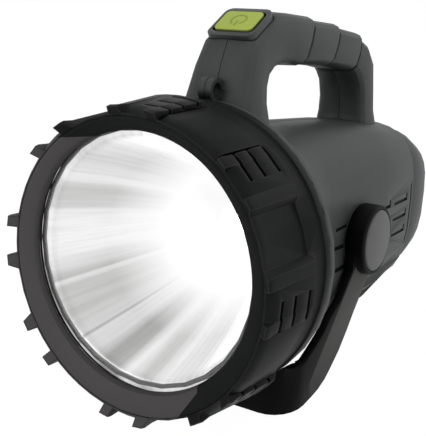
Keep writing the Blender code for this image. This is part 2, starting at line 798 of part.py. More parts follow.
def eyelet_guides():
    """Arched lug for a wrist strap at the foot of the front post, and its hole."""
    foot = Vector((0, *handle_point(*handle_station_shares[2][2:4])))
    outer = EYELET_HOLE_RADIUS + EYELET_STRAND
    centre = foot + Vector((0, -EYELET_FORWARD, -EYELET_DROP))
    half = EYELET_THICKNESS / 2
    profile = ((outer, -half), (outer, half))
    lug = on_x(turned(profile, 24), centre)
    hole_profile = ((EYELET_HOLE_RADIUS, -half - CUT_OVERRUN), (EYELET_HOLE_RADIUS, half + CUT_OVERRUN))
    hole = on_x(turned(hole_profile, 16), centre)
    return lug, hole


def louvre_cutters():
    """Hooked louvres in rows on both sides, and the groove that frames them below and at the rear."""
    shapes = []
    low, back = -PIVOT_DROP - PANEL_DROP + PANEL_GROOVE, PIVOT_BACK + PANEL_BACK
    for side in (-1, 1):
        def cut(outline):
            height = sum(point[1] for point in outline) / len(outline)
            face = barrel_half_width_at(back, height) - LOUVRE_DEPTH
            edges = sorted((side * face, side * (face + LOUVRE_DEPTH + CUT_OVERRUN)))
            shapes.append(extruded(outline, *edges, 0))
        for row in range(LOUVRE_COUNT):
            bottom = LOUVRE_RISE - row * LOUVRE_PITCH
            for column in louvre_columns:
                end = PIVOT_BACK + LOUVRE_BACK - column * LOUVRE_COLUMN_PITCH
                cut(((end - LOUVRE_LENGTH, bottom), (end, bottom), (end, bottom + LOUVRE_HOOK),
                     (end - LOUVRE_HEIGHT, bottom + LOUVRE_HOOK), (end - LOUVRE_HEIGHT, bottom + LOUVRE_HEIGHT),
                     (end - LOUVRE_LENGTH, bottom + LOUVRE_HEIGHT)))
        cut(((PIVOT_BACK + PANEL_FRONT, low - PANEL_GROOVE), (back + PANEL_GROOVE, low - PANEL_GROOVE),
             (back + PANEL_GROOVE, PANEL_TOP_RISE), (back, PANEL_TOP_RISE), (back, low),
             (PIVOT_BACK + PANEL_FRONT, low)))
    return merge(shapes)


def screw_places():
    """Places of the screws that hold the halves, in the lamp's frame."""
    places = []
    for along, up in housing_screw_shares:
        _, above, below, _ = barrel_station(along)
        reach = (above if up > 0 else below) - WALL
        places.append((HEAD_DEPTH + along * BARREL_LENGTH, up * reach))
    return places


def barrel_half_width_at(back, height):
    """Half width of the barrel's outer face at a place along it and a height."""
    half_width, above, below, squareness = barrel_station((back - HEAD_DEPTH) / BARREL_LENGTH)
    share = min(abs(height) / (above if height > 0 else below), 0.999)
    return half_width * (1 - share ** squareness) ** (1 / squareness)


def build_housing():
    """Barrel, collar, handle and bosses as one solid, hollowed and then parted down the middle."""
    shares = [row[0] for row in barrel_station_shares]
    whole = add_object("housing_guide", loft([barrel_ring(share) for share in shares]),
                       "housing", cutter=True)

    collar_front = HEAD_DEPTH - COLLAR_LENGTH
    profile = ((COLLAR_RADIUS, collar_front), (COLLAR_RADIUS, HEAD_DEPTH + CUT_OVERRUN))
    combine(whole, add_object("collar_guide", turned(profile, 48), "housing", cutter=True), "UNION")
    combine(whole, build_handle_guide(), "UNION")
    lug, hole = eyelet_guides()
    combine(whole, add_object("lug_guide", lug, "housing", cutter=True), "UNION")

    hollow_shares = [share for share in shares if share > throat_share]
    count = 20
    rings = [circle(THROAT_RADIUS, collar_front - CUT_OVERRUN, count)]
    rings += [barrel_ring(throat_share, limit=THROAT_RADIUS, count=count)]
    rings += [barrel_ring(share, WALL, THROAT_RADIUS, count=count) for share in hollow_shares]
    rings += [barrel_ring(1.0, WALL, back=BARREL_BACK + CUT_OVERRUN, count=count)]
    hollow = add_object("barrel_hollow", loft(rings), "housing", cutter=True)
    combine(whole, hollow, "DIFFERENCE")
    combine(whole, build_handle_hollow(), "DIFFERENCE")
    combine(whole, add_object("louvre_guide", louvre_cutters(), "housing", cutter=True), "DIFFERENCE")

    bosses = []
    for side in (-1, 1):
        profile = ((BOSS_RADIUS, BOSS_FACE - BOSS_DEPTH), (BOSS_RADIUS, BOSS_FACE))
        bosses.append(on_x(turned(profile, 32), PIVOT, side))
    for back, height in screw_places():
        reach = barrel_half_width_at(back, height) - WALL / 2
        profile = ((BOSS_WIDTH / 2, -reach), (BOSS_WIDTH / 2, reach))
        bosses.append(on_x(turned(profile, 12), Vector((0, back, height))))
    combine(whole, add_object("boss_guide", merge(bosses), "housing", cutter=True), "UNION")
    front, back = BARREL_BACK - REAR_BOSS_LENGTH, BARREL_BACK - 2 * FIT_GAP
    posts, ribs = rear_posts(front, back, 0.0)
    combine(whole, add_object("rear_post_guide", posts, "housing", cutter=True), "UNION")
    combine(whole, add_object("rear_rib_guide", ribs, "housing", cutter=True), "UNION")

    cuts = [hole]
    for side in (-1, 1):
        deep = BOSS_FACE - BOSS_DEPTH - CUT_OVERRUN
        profile = ((SCREW_RADIUS + FIT_GAP, deep), (SCREW_RADIUS + FIT_GAP, BOSS_FACE + CUT_OVERRUN))
        cuts.append(on_x(turned(profile, 20), PIVOT, side))
    shank = FASTENER_RADIUS + FIT_GAP
    head = FASTENER_HEAD_RADIUS + FIT_GAP
    for back, height in screw_places():
        seat = FASTENER_SEAT - FASTENER_HEAD_HEIGHT
        profile = ((shank, seat - FASTENER_LENGTH), (shank, seat - FIT_GAP),
                   (head, seat), (head, HEAD_RADIUS))
        cuts.append(on_x(turned(profile, 8), Vector((0, back, height)), -1))
    deep = BARREL_BACK + REAR_SCREW_SEAT - FASTENER_HEAD_HEIGHT - FASTENER_LENGTH
    for across, up in rear_screw_places():
        profile = ((shank, deep), (shank, BARREL_BACK + CUT_OVERRUN))
        cuts.append(moved(turned(profile, 8), Matrix.Translation((across, 0, up))))
    combine(whole, add_object("hole_guide", merge(cuts), "housing", cutter=True), "DIFFERENCE")
    combine(whole, add_object("pocket_guide", pocket_shape(), "housing", cutter=True), "DIFFERENCE")
    settle(whole)

    far = 2 * HEAD_RADIUS
    top = HANDLE_TOP + HEAD_RADIUS
    for name, side in (("housing_right", 1), ("housing_left", -1)):
        near_face, far_face = side * SEAM_GAP / 2, side * far
        low = (min(near_face, far_face), -far, -far)
        high = (max(near_face, far_face), BARREL_BACK + far, top)
        half_space = add_object(name + "_side", box(low, high), "housing", cutter=True)
        half = bpy.data.objects.new(name, whole.data.copy())
        bpy.context.collection.objects.link(half)
        half.parent = lamp
        combine(half, half_space, "INTERSECT")


def screw_shape(top):
    """Pan-headed screw along Y whose head ends at a distance back."""
    shoulder = top - FASTENER_HEAD_HEIGHT + FIT_GAP
    profile = ((FASTENER_RADIUS, shoulder - FASTENER_LENGTH + 3 * FIT_GAP), (FASTENER_RADIUS, shoulder),
               (FASTENER_HEAD_RADIUS, shoulder + FIT_GAP), (FASTENER_HEAD_RADIUS, top))
    return turned(profile, 8)


def build_screws():
    for index, (back, height) in enumerate(screw_places(), start=1):
        screw = on_x(screw_shape(FASTENER_SEAT), Vector((0, back, height)), -1)
        add_object(f"housing_screw_{index}", screw, "steel")
    for index, (across, up) in enumerate(rear_screw_places(), start=1):
        screw = screw_shape(BARREL_BACK + REAR_SCREW_SEAT)
        add_object(f"rear_cap_screw_{index}", moved(screw, Matrix.Translation((across, 0, up))), "steel")


# Button

def build_button():
    frame = add_object("switch_frame",
                       slope_plate(FRAME_WIDTH, FRAME_LENGTH, FRAME_CORNER, -FRAME_SUNK, FRAME_PROUD),
                       "housing")
    window = slope_plate(BUTTON_WIDTH + 2 * FIT_GAP, BUTTON_LENGTH + 2 * FIT_GAP, BUTTON_CORNER,
                         -FRAME_SUNK - CUT_OVERRUN, FRAME_PROUD + CUT_OVERRUN)
    combine(frame, add_object("window_guide", window, "housing", cutter=True), "DIFFERENCE")
    leg_low = -FRAME_SUNK - FRAME_LEG_LENGTH
    reach = SWITCH_WELL_LENGTH / 2 - 2 * FIT_GAP
    legs = []
    for side in (-1, 1):
        edges = sorted((side * reach, side * (reach - FRAME_LEG_THICKNESS)))
        legs.append(box((-FRAME_LEG_WIDTH / 2, edges[0], leg_low),
                        (FRAME_LEG_WIDTH / 2, edges[1], -FRAME_SUNK + FRAME_LEG_THICKNESS)))
    leg_shape = moved(merge(legs), slope_frame())
    combine(frame, add_object("leg_guide", leg_shape, "housing", cutter=True), "UNION")

    top = FRAME_PROUD + BUTTON_PROUD
    pad_low = top - BUTTON_THICKNESS
    empty = add_empty("button_guide_axis", slope_frame().translation, lamp)
    place = Matrix.Translation(-slope_frame().translation) @ slope_frame()
    chamfer = FIT_GAP + FIT_GAP
    outline = rounded_rectangle(BUTTON_WIDTH, BUTTON_LENGTH, BUTTON_CORNER)
    small = rounded_rectangle(BUTTON_WIDTH - 2 * chamfer, BUTTON_LENGTH - 2 * chamfer,
                              BUTTON_CORNER - chamfer)
    levels = ((outline, pad_low), (outline, top - chamfer), (small, top))
    rings = [[Vector((*pair, level)) for pair in ring] for ring, level in levels]
    pad = add_object("power_button", moved(loft(rings), place), "lime", empty)
    switch_top = leg_low + SWITCH_HEIGHT
    stem_end = switch_top + BUTTON_TRAVEL + FIT_GAP
    stem_rings = [[Vector((p.x, p.z, level)) for p in circle(STEM_RADIUS, 0.0, 20)]
                  for level in (stem_end, pad_low + BUTTON_THICKNESS / 2)]
    stem = add_object("stem_guide", moved(loft(stem_rings), place), "lime", empty, cutter=True)
    combine(pad, stem, "UNION")

    board_top = leg_low - FIT_GAP
    half_board = FRAME_LEG_WIDTH / 2
    board = box((-half_board, -reach, board_top - SWITCH_BOARD_THICKNESS), (half_board, reach, board_top))
    add_object("switch_board", moved(board, slope_frame()), "circuit")
    side = SWITCH_BODY / 2
    body = box((-side, -side, board_top + FIT_GAP), (side, side, switch_top - FIT_GAP))
    add_object("tact_switch", moved(body, slope_frame()), "cradle")


# Stand and its pivots

def floor_slope():
    """Angle of the floor in the lamp's frame, from the sole's front edge to the barrel's heel."""
    sole_front = PIVOT_BACK - STAND_REACH
    sole_low = -PIVOT_DROP - STAND_SOLE_DROP
    heel_low = -barrel_station(1.0)[2]
    return math.atan2(heel_low - sole_low, BARREL_BACK - sole_front), sole_front, sole_low


def stand_outline():
    """Side view of the stand: round hub, tapering arm, upright front plate and flat sole."""
    slope, sole_front, sole_low = floor_slope()
    sole = Vector((sole_front, sole_low))
    centre = Vector((PIVOT.y, PIVOT.z))
    points = []
    for step in range(13):
        turn = math.radians(-65 + 250 * step / 12)
        points.append(centre + (HUB_RADIUS - HUB_RIM) * Vector((math.cos(turn), math.sin(turn))))
    points += [centre + STAND_SOLE_DROP * Vector(pair) for pair in stand_front_shares]
    points += [sole + Vector((0, STAND_PLATE_HEIGHT)), sole]
    points.append(sole + STAND_SOLE_LENGTH * Vector((math.cos(slope), math.sin(slope))))
    points += [centre + STAND_SOLE_DROP * Vector(pair) for pair in stand_rear_shares]
    return points


def stand_band(front, back):
    """Top view of the stand's wall: a strap that turns two round corners in front of the barrel."""
    def path(half_width, start, radius):
        points = [Vector((half_width, back))]
        for side, first in ((1, 0.0), (-1, -math.pi / 2)):
            centre = Vector((side * (half_width - radius), start + radius))
            for step in range(7):
                turn = first - math.pi / 2 * step / 6
                points.append(centre + radius * Vector((math.cos(turn), math.sin(turn))))
        return points + [Vector((-half_width, back))]
    outer = path(ARM_OUTER, front, STAND_CORNER_RADIUS)
    inner = path(ARM_INNER, front + ARM_THICKNESS, STAND_CORNER_RADIUS - ARM_THICKNESS)
    return outer + list(reversed(inner))


def build_stand():
    """Stand: the side outline crossed with the strap, arched over the front plate, with its hubs."""
    _, sole_front, sole_low = floor_slope()
    relative = [(y - PIVOT.y, z - PIVOT.z) for y, z in stand_outline()]
    far = HUB_OUTER + CUT_OVERRUN
    pivot = add_empty("stand_axis", PIVOT, lamp)
    stand = add_object("stand_bracket", extruded(relative, -far, far, 0), "stand", pivot)
    to_pivot = Matrix.Translation(-PIVOT)

    band = extruded(stand_band(sole_front, PIVOT_BACK + 2 * HUB_RADIUS), sole_low - CUT_OVERRUN,
                    2 * HUB_RADIUS, 2)
    band = add_object("band_guide", moved(band, to_pivot), "stand", pivot, cutter=True)
    combine(stand, band, "INTERSECT")
    arch_back = sole_front + STAND_CORNER_RADIUS
    profile = ((STAND_ARCH_RADIUS, sole_front - CUT_OVERRUN), (STAND_ARCH_RADIUS, arch_back))
    arch_centre = sole_low + STAND_WEB + STAND_ARCH_RADIUS
    arch = moved(turned(profile, 64, arch_centre), to_pivot)
    arch = add_object("arch_guide", arch, "stand", pivot, cutter=True)
    combine(stand, arch, "DIFFERENCE")

    rims = []
    cuts = []
    for side in (-1, 1):
        profile = ((HUB_RADIUS, ARM_INNER - HUB_PROUD), (HUB_RADIUS, HUB_OUTER - HUB_RIM),
                   (HUB_RADIUS - HUB_RIM, HUB_OUTER))
        rims.append(on_x(turned(profile, 36), side=side))
        outer = HUB_OUTER - CAP_SEAT_DEPTH
        head_seat = outer - SCREW_HEAD_HEIGHT - 2 * FIT_GAP
        profile = (
            (SCREW_RADIUS + FIT_GAP, ARM_INNER - HUB_PROUD - CUT_OVERRUN),
            (SCREW_RADIUS + FIT_GAP, head_seat - FIT_GAP),
            (SCREW_HEAD_RADIUS + FIT_GAP, head_seat),
            (SCREW_HEAD_RADIUS + FIT_GAP, outer - FIT_GAP),
            (CAP_RADIUS + FIT_GAP, outer),
            (CAP_RADIUS + FIT_GAP, far),
        )
        cuts.append(on_x(turned(profile, 20), side=side))
    combine(stand, add_object("hub_guide", merge(rims), "stand", pivot, cutter=True), "UNION")
    combine(stand, add_object("hub_bore_guide", merge(cuts), "stand", pivot, cutter=True), "DIFFERENCE")

    for name, side in (("right", 1), ("left", -1)):
        seat = HUB_OUTER - CAP_SEAT_DEPTH + FIT_GAP
        profile = ((CAP_RADIUS, seat), (CAP_RADIUS, HUB_OUTER), (CAP_RADIUS - CAP_PROUD, HUB_OUTER + CAP_PROUD))
        add_object("pivot_cap_" + name, on_x(turned(profile, 30), side=side), "cap", pivot)

        washer_front = BOSS_FACE + FIT_GAP
        bore = SCREW_RADIUS + 2 * FIT_GAP
        profile = ((bore, washer_front), (WASHER_RADIUS, washer_front),
                   (WASHER_RADIUS, washer_front + WASHER_THICKNESS), (bore, washer_front + WASHER_THICKNESS))
        add_object("friction_washer_" + name, on_x(turned_ring(profile, 16), PIVOT, side), "washer")

        head_top = HUB_OUTER - CAP_SEAT_DEPTH - 2 * FIT_GAP
        head_low = head_top - SCREW_HEAD_HEIGHT + FIT_GAP
        profile = ((SCREW_RADIUS, head_top - SCREW_LENGTH), (SCREW_RADIUS, head_low),
                   (SCREW_HEAD_RADIUS, head_low + FIT_GAP), (SCREW_HEAD_RADIUS, head_top))
        add_object("pivot_screw_" + name, on_x(turned(profile, 16), PIVOT, side), "steel")


# Rear cap, charging port and its cover

def cap_ring(station, inset=0.0, back=None, count=32):
    along, width, above, below = station
    half_width, top, bottom, squareness = barrel_station(1.0)
    sizes = (
        width * (half_width - CAP_STEP) - inset,
        above * (top - CAP_STEP) - inset,
        below * (bottom - CAP_BOTTOM_STEP) - inset,
    )
    place = BARREL_BACK + FIT_GAP + along * CAP_LENGTH if back is None else back
    return [Vector((across, place, up)) for across, up in superellipse(*sizes, squareness, count)]


def build_rear_cap():
    face = BARREL_BACK + FIT_GAP + CAP_LENGTH
    cap = add_object("rear_cap", loft([cap_ring(row) for row in cap_station_shares]), "housing")
    inner_rows = cap_station_shares[:-2]
    count = 20
    rings = [cap_ring(inner_rows[0], CAP_WALL, BARREL_BACK - CUT_OVERRUN, count)]
    rings += [cap_ring(row, CAP_WALL, count=count) for row in inner_rows]
    rings += [cap_ring(cap_station_shares[-2], CAP_WALL, face - CAP_WALL - PORT_RECESS_DEPTH, count)]
    combine(cap, add_object("cap_hollow", loft(rings), "housing", cutter=True), "DIFFERENCE")

    outline = rounded_rectangle(PORT_RECESS_WIDTH, PORT_RECESS_HEIGHT, PORT_CORNER, 2)
    recess = extruded(outline, face - PORT_RECESS_DEPTH, face + CUT_OVERRUN, 1)
    recess = moved(recess, Matrix.Translation((0, 0, -PORT_DROP)))
    combine(cap, add_object("recess_guide", recess, "housing", cutter=True), "DIFFERENCE")

    posts, ribs = rear_posts(BARREL_BACK + 2 * FIT_GAP, face + CUT_OVERRUN, 0.0)
    core = add_object("cap_core", loft([cap_ring(row, CAP_WALL / 4, count=count) for row in cap_station_shares]),
                      "housing", cutter=True)
    for name, shape in (("cap_post_guide", posts), ("cap_rib_guide", ribs)):
        inside = add_object(name, shape, "housing", cutter=True)
        combine(inside, core, "INTERSECT")
        combine(cap, inside, "UNION")

    profile = ((PORT_RADIUS, face - CAP_WALL - 2 * PORT_RECESS_DEPTH), (PORT_RADIUS, face + CUT_OVERRUN))
    cuts = [moved(turned(profile, 20), Matrix.Translation((0, 0, -PORT_DROP)))]
    seat = BARREL_BACK + REAR_SCREW_SEAT - FASTENER_HEAD_HEIGHT
    shank, head = FASTENER_RADIUS + FIT_GAP, FASTENER_HEAD_RADIUS + FIT_GAP
    for across, up in rear_screw_places():
        profile = ((shank, BARREL_BACK - CUT_OVERRUN), (shank, seat - FIT_GAP),
                   (head, seat), (head, face + CUT_OVERRUN))
        cuts.append(moved(turned(profile, 8), Matrix.Translation((across, 0, up))))
    combine(cap, add_object("port_guide", merge(cuts), "housing", cutter=True), "DIFFERENCE")


def rear_posts(front, back, shrink):
    """Posts for the rear screws, and the ribs that tie them to the side walls."""
    posts, ribs = [], []
    for across, up in rear_screw_places():
        profile = ((BOSS_WIDTH / 2, front), (BOSS_WIDTH / 2, back))
        posts.append(moved(turned(profile, 8), Matrix.Translation((across, 0, up))))
        reach = barrel_half_width_at(BARREL_BACK, up) - WALL / 2 - shrink
        edges = sorted((across, math.copysign(reach, across)))
        half = RIB_THICKNESS / 2
        ribs.append(box((edges[0], front + FIT_GAP, up - half), (edges[1], back - FIT_GAP, up + half)))
    return merge(posts), merge(ribs)


def rear_screw_places():
    """Places across and up of the screws that hold the rear cap."""
    half_width, above, below, _ = barrel_station(1.0)
    places = []
    for across, up in rear_screw_shares:
        reach = (above if up > 0 else below) - WALL
        places.append((across * (half_width - WALL), up * reach))
    return places


def build_charging_port():
    face = BARREL_BACK + FIT_GAP + CAP_LENGTH
    inside = face - CAP_WALL - PORT_RECESS_DEPTH
    half_width, half_height = SOCKET_WIDTH / 2, SOCKET_HEIGHT / 2
    low = (-half_width, inside - FIT_GAP - SOCKET_DEPTH, -PORT_DROP - half_height)
    high = (half_width, inside - FIT_GAP, -PORT_DROP + half_height)
    socket = add_object("charge_socket", box(low, high), "cradle")
    profile = ((SOCKET_BORE_RADIUS, inside - SOCKET_DEPTH * socket_bore_share), (SOCKET_BORE_RADIUS, face))
    bore = moved(turned(profile, 24), Matrix.Translation((0, 0, -PORT_DROP)))
    bore = add_object("socket_bore", bore, "cradle", cutter=True)
    combine(socket, bore, "DIFFERENCE")

    floor = face - PORT_RECESS_DEPTH
    middle = -PORT_DROP
    width = PORT_RECESS_WIDTH - 4 * FIT_GAP
    height = PORT_RECESS_HEIGHT - 4 * FIT_GAP
    hinge_rise = middle + height / 2 - COVER_BARREL_RADIUS
    hinge_back = floor + COVER_GAP + COVER_THICKNESS - COVER_BARREL_RADIUS
    axis = Vector((0, hinge_back, hinge_rise))
    hinge = add_empty("cover_axis", axis, lamp)
    outline = rounded_rectangle(width, height, PORT_CORNER, 2)
    place = Matrix.Translation(Vector((0, 0, middle)) - axis)
    inner = floor + COVER_GAP
    cover = add_object("charge_port_cover",
                       moved(extruded(outline, inner, inner + COVER_THICKNESS, 1), place),
                       "rubber", hinge)
    profile = ((COVER_PLUG_RADIUS, floor - COVER_PLUG_LENGTH), (COVER_PLUG_RADIUS, inner + COVER_THICKNESS / 2))
    plug = add_object("plug_guide", moved(turned(profile, 20), place), "rubber", hinge, cutter=True)
    combine(cover, plug, "UNION")
    return axis


# Battery and electronics

def build_battery():
    """Four cells, two by two, in a tray that stands on the floor of the barrel."""
    pitch = 2 * CELL_RADIUS + 2 * FIT_GAP
    share = (CRADLE_FRONT + CELL_LENGTH - HEAD_DEPTH) / BARREL_LENGTH
    floor = -barrel_station(share)[2] + WALL
    tray_floor = floor + CRADLE_FOOT_HEIGHT
    half_width = pitch + CRADLE_WALL + FIT_GAP
    end = CRADLE_FRONT + 2 * CRADLE_WALL + CELL_LENGTH + 2 * (STRIP_THICKNESS + 2 * FIT_GAP)
    tray_top = tray_floor + CRADLE_WALL + FIT_GAP + CELL_ROWS * pitch
    tray = add_object("battery_cradle",
                      box((-half_width, CRADLE_FRONT, tray_floor), (half_width, end, tray_top)), "cradle")
    room = box((-half_width + CRADLE_WALL, CRADLE_FRONT + CRADLE_WALL, tray_floor + CRADLE_WALL),
               (half_width - CRADLE_WALL, end - CRADLE_WALL, tray_top + CUT_OVERRUN))
    combine(tray, add_object("tray_room", room, "cradle", cutter=True), "DIFFERENCE")
    feet = []
    for side in (-1, 1):
        edges = sorted((side * CRADLE_FOOT_SPREAD, side * (CRADLE_FOOT_SPREAD + CRADLE_FOOT_WIDTH)))
        feet.append(box((edges[0], CRADLE_FRONT + CRADLE_WALL, floor + 3 * FIT_GAP + foot_rise(share)),
                        (edges[1], end - CRADLE_WALL, tray_floor + CRADLE_WALL / 2)))
    combine(tray, add_object("tray_feet", merge(feet), "cradle", cutter=True), "UNION")

    cell_front = CRADLE_FRONT + CRADLE_WALL + STRIP_THICKNESS + 2 * FIT_GAP
    number = 1
    for row in range(CELL_ROWS):
        for side in (-1, 1):
            middle = Vector((side * pitch / 2, 0,
                             tray_floor + CRADLE_WALL + FIT_GAP + CELL_RADIUS + row * pitch))
            profile = ((CELL_RADIUS - LENS_EDGE_ROUND, cell_front), (CELL_RADIUS, cell_front + LENS_EDGE_ROUND),
                       (CELL_RADIUS, cell_front + CELL_LENGTH - LENS_EDGE_ROUND),
                       (CELL_RADIUS - LENS_EDGE_ROUND, cell_front + CELL_LENGTH))
            add_object(f"battery_cell_{number}", moved(turned(profile, 12), Matrix.Translation(middle)), "cell")
            number += 1
    strip_low = tray_floor + CRADLE_WALL + FIT_GAP + CELL_RADIUS / 2
    strip_high = strip_low + pitch + CELL_RADIUS
    for name, front in (("front", CRADLE_FRONT + CRADLE_WALL + FIT_GAP),
                        ("rear", cell_front + CELL_LENGTH + FIT_GAP)):
        strip = box((-pitch / 2 - CELL_RADIUS / 2, front, strip_low),
                    (pitch / 2 + CELL_RADIUS / 2, front + STRIP_THICKNESS, strip_high))
        add_object("contact_strip_" + name, strip, "nickel")
    half_board = CONTROL_BOARD_WIDTH / 2
    board_front = CRADLE_FRONT + CRADLE_WALL
    board = box((-half_board, board_front, tray_top + FIT_GAP),
                (half_board, board_front + CONTROL_BOARD_LENGTH, tray_top + FIT_GAP + CONTROL_BOARD_THICKNESS))
    add_object("control_board", board, "circuit")


def foot_rise(share):
    """How far the barrel's round floor has climbed at the outer edge of the tray's feet."""
    half_width, _, below, squareness = barrel_station(share)
    reach = (CRADLE_FOOT_SPREAD + CRADLE_FOOT_WIDTH) / (half_width - WALL)
    return (below - WALL) * (1 - (1 - reach ** squareness) ** (1 / squareness))


def seat_on_floor():
    """Tip the lamp back onto its heel, then centre it over the origin with its lowest point at 0."""
    slope, _, _ = floor_slope()
    lamp.rotation_euler = (-slope, 0, 0)
    bpy.context.view_layer.update()
    graph = bpy.context.evaluated_depsgraph_get()
    low, high = Vector((1, 1, 1)), Vector((-1, -1, -1))
    for made in bpy.context.scene.objects:
        if made.type != "MESH" or made.hide_render:
            continue
        shown = made.evaluated_get(graph)
        for vertex in shown.data.vertices:
            point = shown.matrix_world @ vertex.co
            low = Vector(map(min, low, point))
            high = Vector(map(max, high, point))
    lamp.location = (-(low.x + high.x) / 2, -(low.y + high.y) / 2, -low.z)
    bpy.context.view_layer.update()
    print("size", [round(value, 4) for value in high - low], "tipped back", round(math.degrees(slope), 3))


def print_axes():
    """Print the joints' axes and the faces that the record names, in world metres."""
    for name in ("stand_axis", "cover_axis", "button_guide_axis"):
        place = bpy.data.objects[name].matrix_world.translation
        print(name, [round(value, 5) for value in place])
    out = lamp.matrix_world.to_3x3() @ slope_frame().to_3x3() @ Vector((0, 0, -1))
    print("button pushes along", [round(value, 5) for value in out])
    slope, sole_front, sole_low = floor_slope()
    sole = Vector((0, sole_front, sole_low)) + ARM_THICKNESS / 2 * Vector((0, math.cos(slope), math.sin(slope)))
    print("sole", [round(value, 5) for value in lamp.matrix_world @ sole])


build_bezel()
build_lens()
build_gasket()
build_reflector()
build_light_engine()
build_bumper()
build_housing()
build_screws()
build_button()
build_stand()
build_rear_cap()
build_charging_port()
build_battery()
seat_on_floor()
print_axes()
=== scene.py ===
# %% [markdown]
# # A rechargeable searchlight, finished for its picture
#
# The CAD model already has the lamp's true sizes. This script dresses it: moulded edges get their
# small radii, the bowl and the lens become smooth, and each piece gets the finish of its real
# material. Lengths are in metres, and MM turns a size in millimetres into one. The beam leaves
# along -Y, +Z is up, and the floor is at zero.

# %% Load the fixed frame
import json
import math

import bpy
from mathutils import Matrix, Vector

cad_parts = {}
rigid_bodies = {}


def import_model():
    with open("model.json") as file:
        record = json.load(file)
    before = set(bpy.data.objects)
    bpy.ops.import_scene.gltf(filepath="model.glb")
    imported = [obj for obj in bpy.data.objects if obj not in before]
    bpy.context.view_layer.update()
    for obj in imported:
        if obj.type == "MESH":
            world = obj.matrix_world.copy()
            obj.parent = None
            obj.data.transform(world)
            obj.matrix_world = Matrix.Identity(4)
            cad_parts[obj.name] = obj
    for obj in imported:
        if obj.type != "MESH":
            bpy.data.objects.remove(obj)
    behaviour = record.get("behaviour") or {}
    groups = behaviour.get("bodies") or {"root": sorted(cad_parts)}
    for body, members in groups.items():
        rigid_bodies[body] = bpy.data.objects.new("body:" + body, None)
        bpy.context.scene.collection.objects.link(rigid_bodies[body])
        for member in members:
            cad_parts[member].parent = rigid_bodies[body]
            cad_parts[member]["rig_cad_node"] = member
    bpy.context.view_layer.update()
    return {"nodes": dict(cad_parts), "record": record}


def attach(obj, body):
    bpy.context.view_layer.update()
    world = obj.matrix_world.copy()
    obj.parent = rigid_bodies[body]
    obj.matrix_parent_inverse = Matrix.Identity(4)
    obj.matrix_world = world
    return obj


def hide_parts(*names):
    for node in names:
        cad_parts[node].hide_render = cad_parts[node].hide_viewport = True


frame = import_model()
MM = 0.001

# %% [markdown]
# ## The camera
#
# The lens opening is a true circle, so the ellipse that it makes in the photograph gives the
# direction of view, and the ring behind it gives the distance. The long side of the picture spans
# 36 mm of sensor, so a 70 mm lens gives the mild perspective of a product photograph.

# %% Camera
EYE = (0.21969, -0.39407, 0.24379)
VIEW_DEG = (69.085, 2.401, 33.059)

bpy.ops.object.select_all(action="DESELECT")
bpy.ops.object.camera_add(location=EYE, rotation=[math.radians(angle) for angle in VIEW_DEG])
camera = bpy.context.object
camera.name = "portrait_camera"
camera.data.lens = 70.38
camera.data.sensor_width = 36
camera.data.clip_start = 10 * MM
bpy.context.scene.camera = camera
bpy.context.scene.view_settings.view_transform = "Standard"
print("camera looks down by", round(90 - VIEW_DEG[0], 1), "degrees")

# %% [markdown]
# ## Colours and nodes
#
# Colours are written as the sRGB hex values that a colour picker shows, and one function turns
# them to the linear values that a shader wants. One more function adds a node with its settings
# and its links, so that each finish below reads like a recipe.

# %% Colour and node helpers
def linear(shade):
    """Turn an sRGB hex value into linear red, green, blue and alpha."""
    parts = [int(shade[place:place + 2], 16) / 255 for place in (1, 3, 5)]
    return [p / 12.92 if p <= 0.04045 else ((p + 0.055) / 1.055) ** 2.4 for p in parts] + [1.0]


def add_node(tree, kind, settings=None, links=None):
    """Add one node, give its sockets or properties their values, and link its inputs."""
    made = tree.nodes.new("ShaderNode" + kind)
    for key, value in (settings or {}).items():
        if isinstance(key, int) or key in made.inputs:
            made.inputs[key].default_value = value
        else:
            setattr(made, key, value)
    for key, source in (links or {}).items():
        tree.links.new(source, made.inputs[key])
    return made


def new_finish(name, **settings):
    """A material whose shader has these values on its own sockets, ready for patterns."""
    finish = bpy.data.materials.new(name)
    finish.use_nodes = True
    shader = finish.node_tree.nodes["Principled BSDF"]
    for key, value in settings.items():
        shader.inputs[key.replace("_", " ")].default_value = value
    return finish, finish.node_tree, shader


WHITE = linear("#ffffff")
print("middle grey is", round(linear("#808080")[0], 3), "in linear light")

# %% [markdown]
# ## Floor and background
#
# A product picture stands on white. The floor looks white because camera, mirror and glass rays
# see its own plain glow, and the part of it that is ordinary paint keeps the lamp's soft shadow.
# The room is white for the same rays, and only a weak fill light for all others.

# %% Floor and background
PAPER_GLOW, GLOW_SHARE, FILL_LIGHT = 1.08, 0.9, 0.2


def seen_directly(tree):
    """One for camera, mirror and glass rays, and nothing for the rays that carry light."""
    rays = add_node(tree, "LightPath").outputs
    seen = rays["Is Camera Ray"]
    for kind in ("Is Glossy Ray", "Is Transmission Ray"):
        seen = add_node(tree, "Math", {"operation": "ADD", "use_clamp": True},
                        {0: seen, 1: rays[kind]}).outputs[0]
    return seen


bpy.ops.mesh.primitive_plane_add(size=14, location=(0, 0, 0))
floor = bpy.context.object
floor.name = "floor"
paper, tree, shader = new_finish("matt_white_paper")
tree.nodes.remove(shader)
paint = add_node(tree, "BsdfDiffuse", {"Color": linear("#f2f2f2")}).outputs[0]
glow = add_node(tree, "Emission", {"Color": WHITE, "Strength": PAPER_GLOW}).outputs[0]
both = add_node(tree, "MixShader", {0: GLOW_SHARE}, {1: paint, 2: glow}).outputs[0]
pick = add_node(tree, "MixShader", None, {0: seen_directly(tree), 1: paint, 2: both}).outputs[0]
tree.links.new(pick, tree.nodes["Material Output"].inputs["Surface"])
floor.data.materials.append(paper)

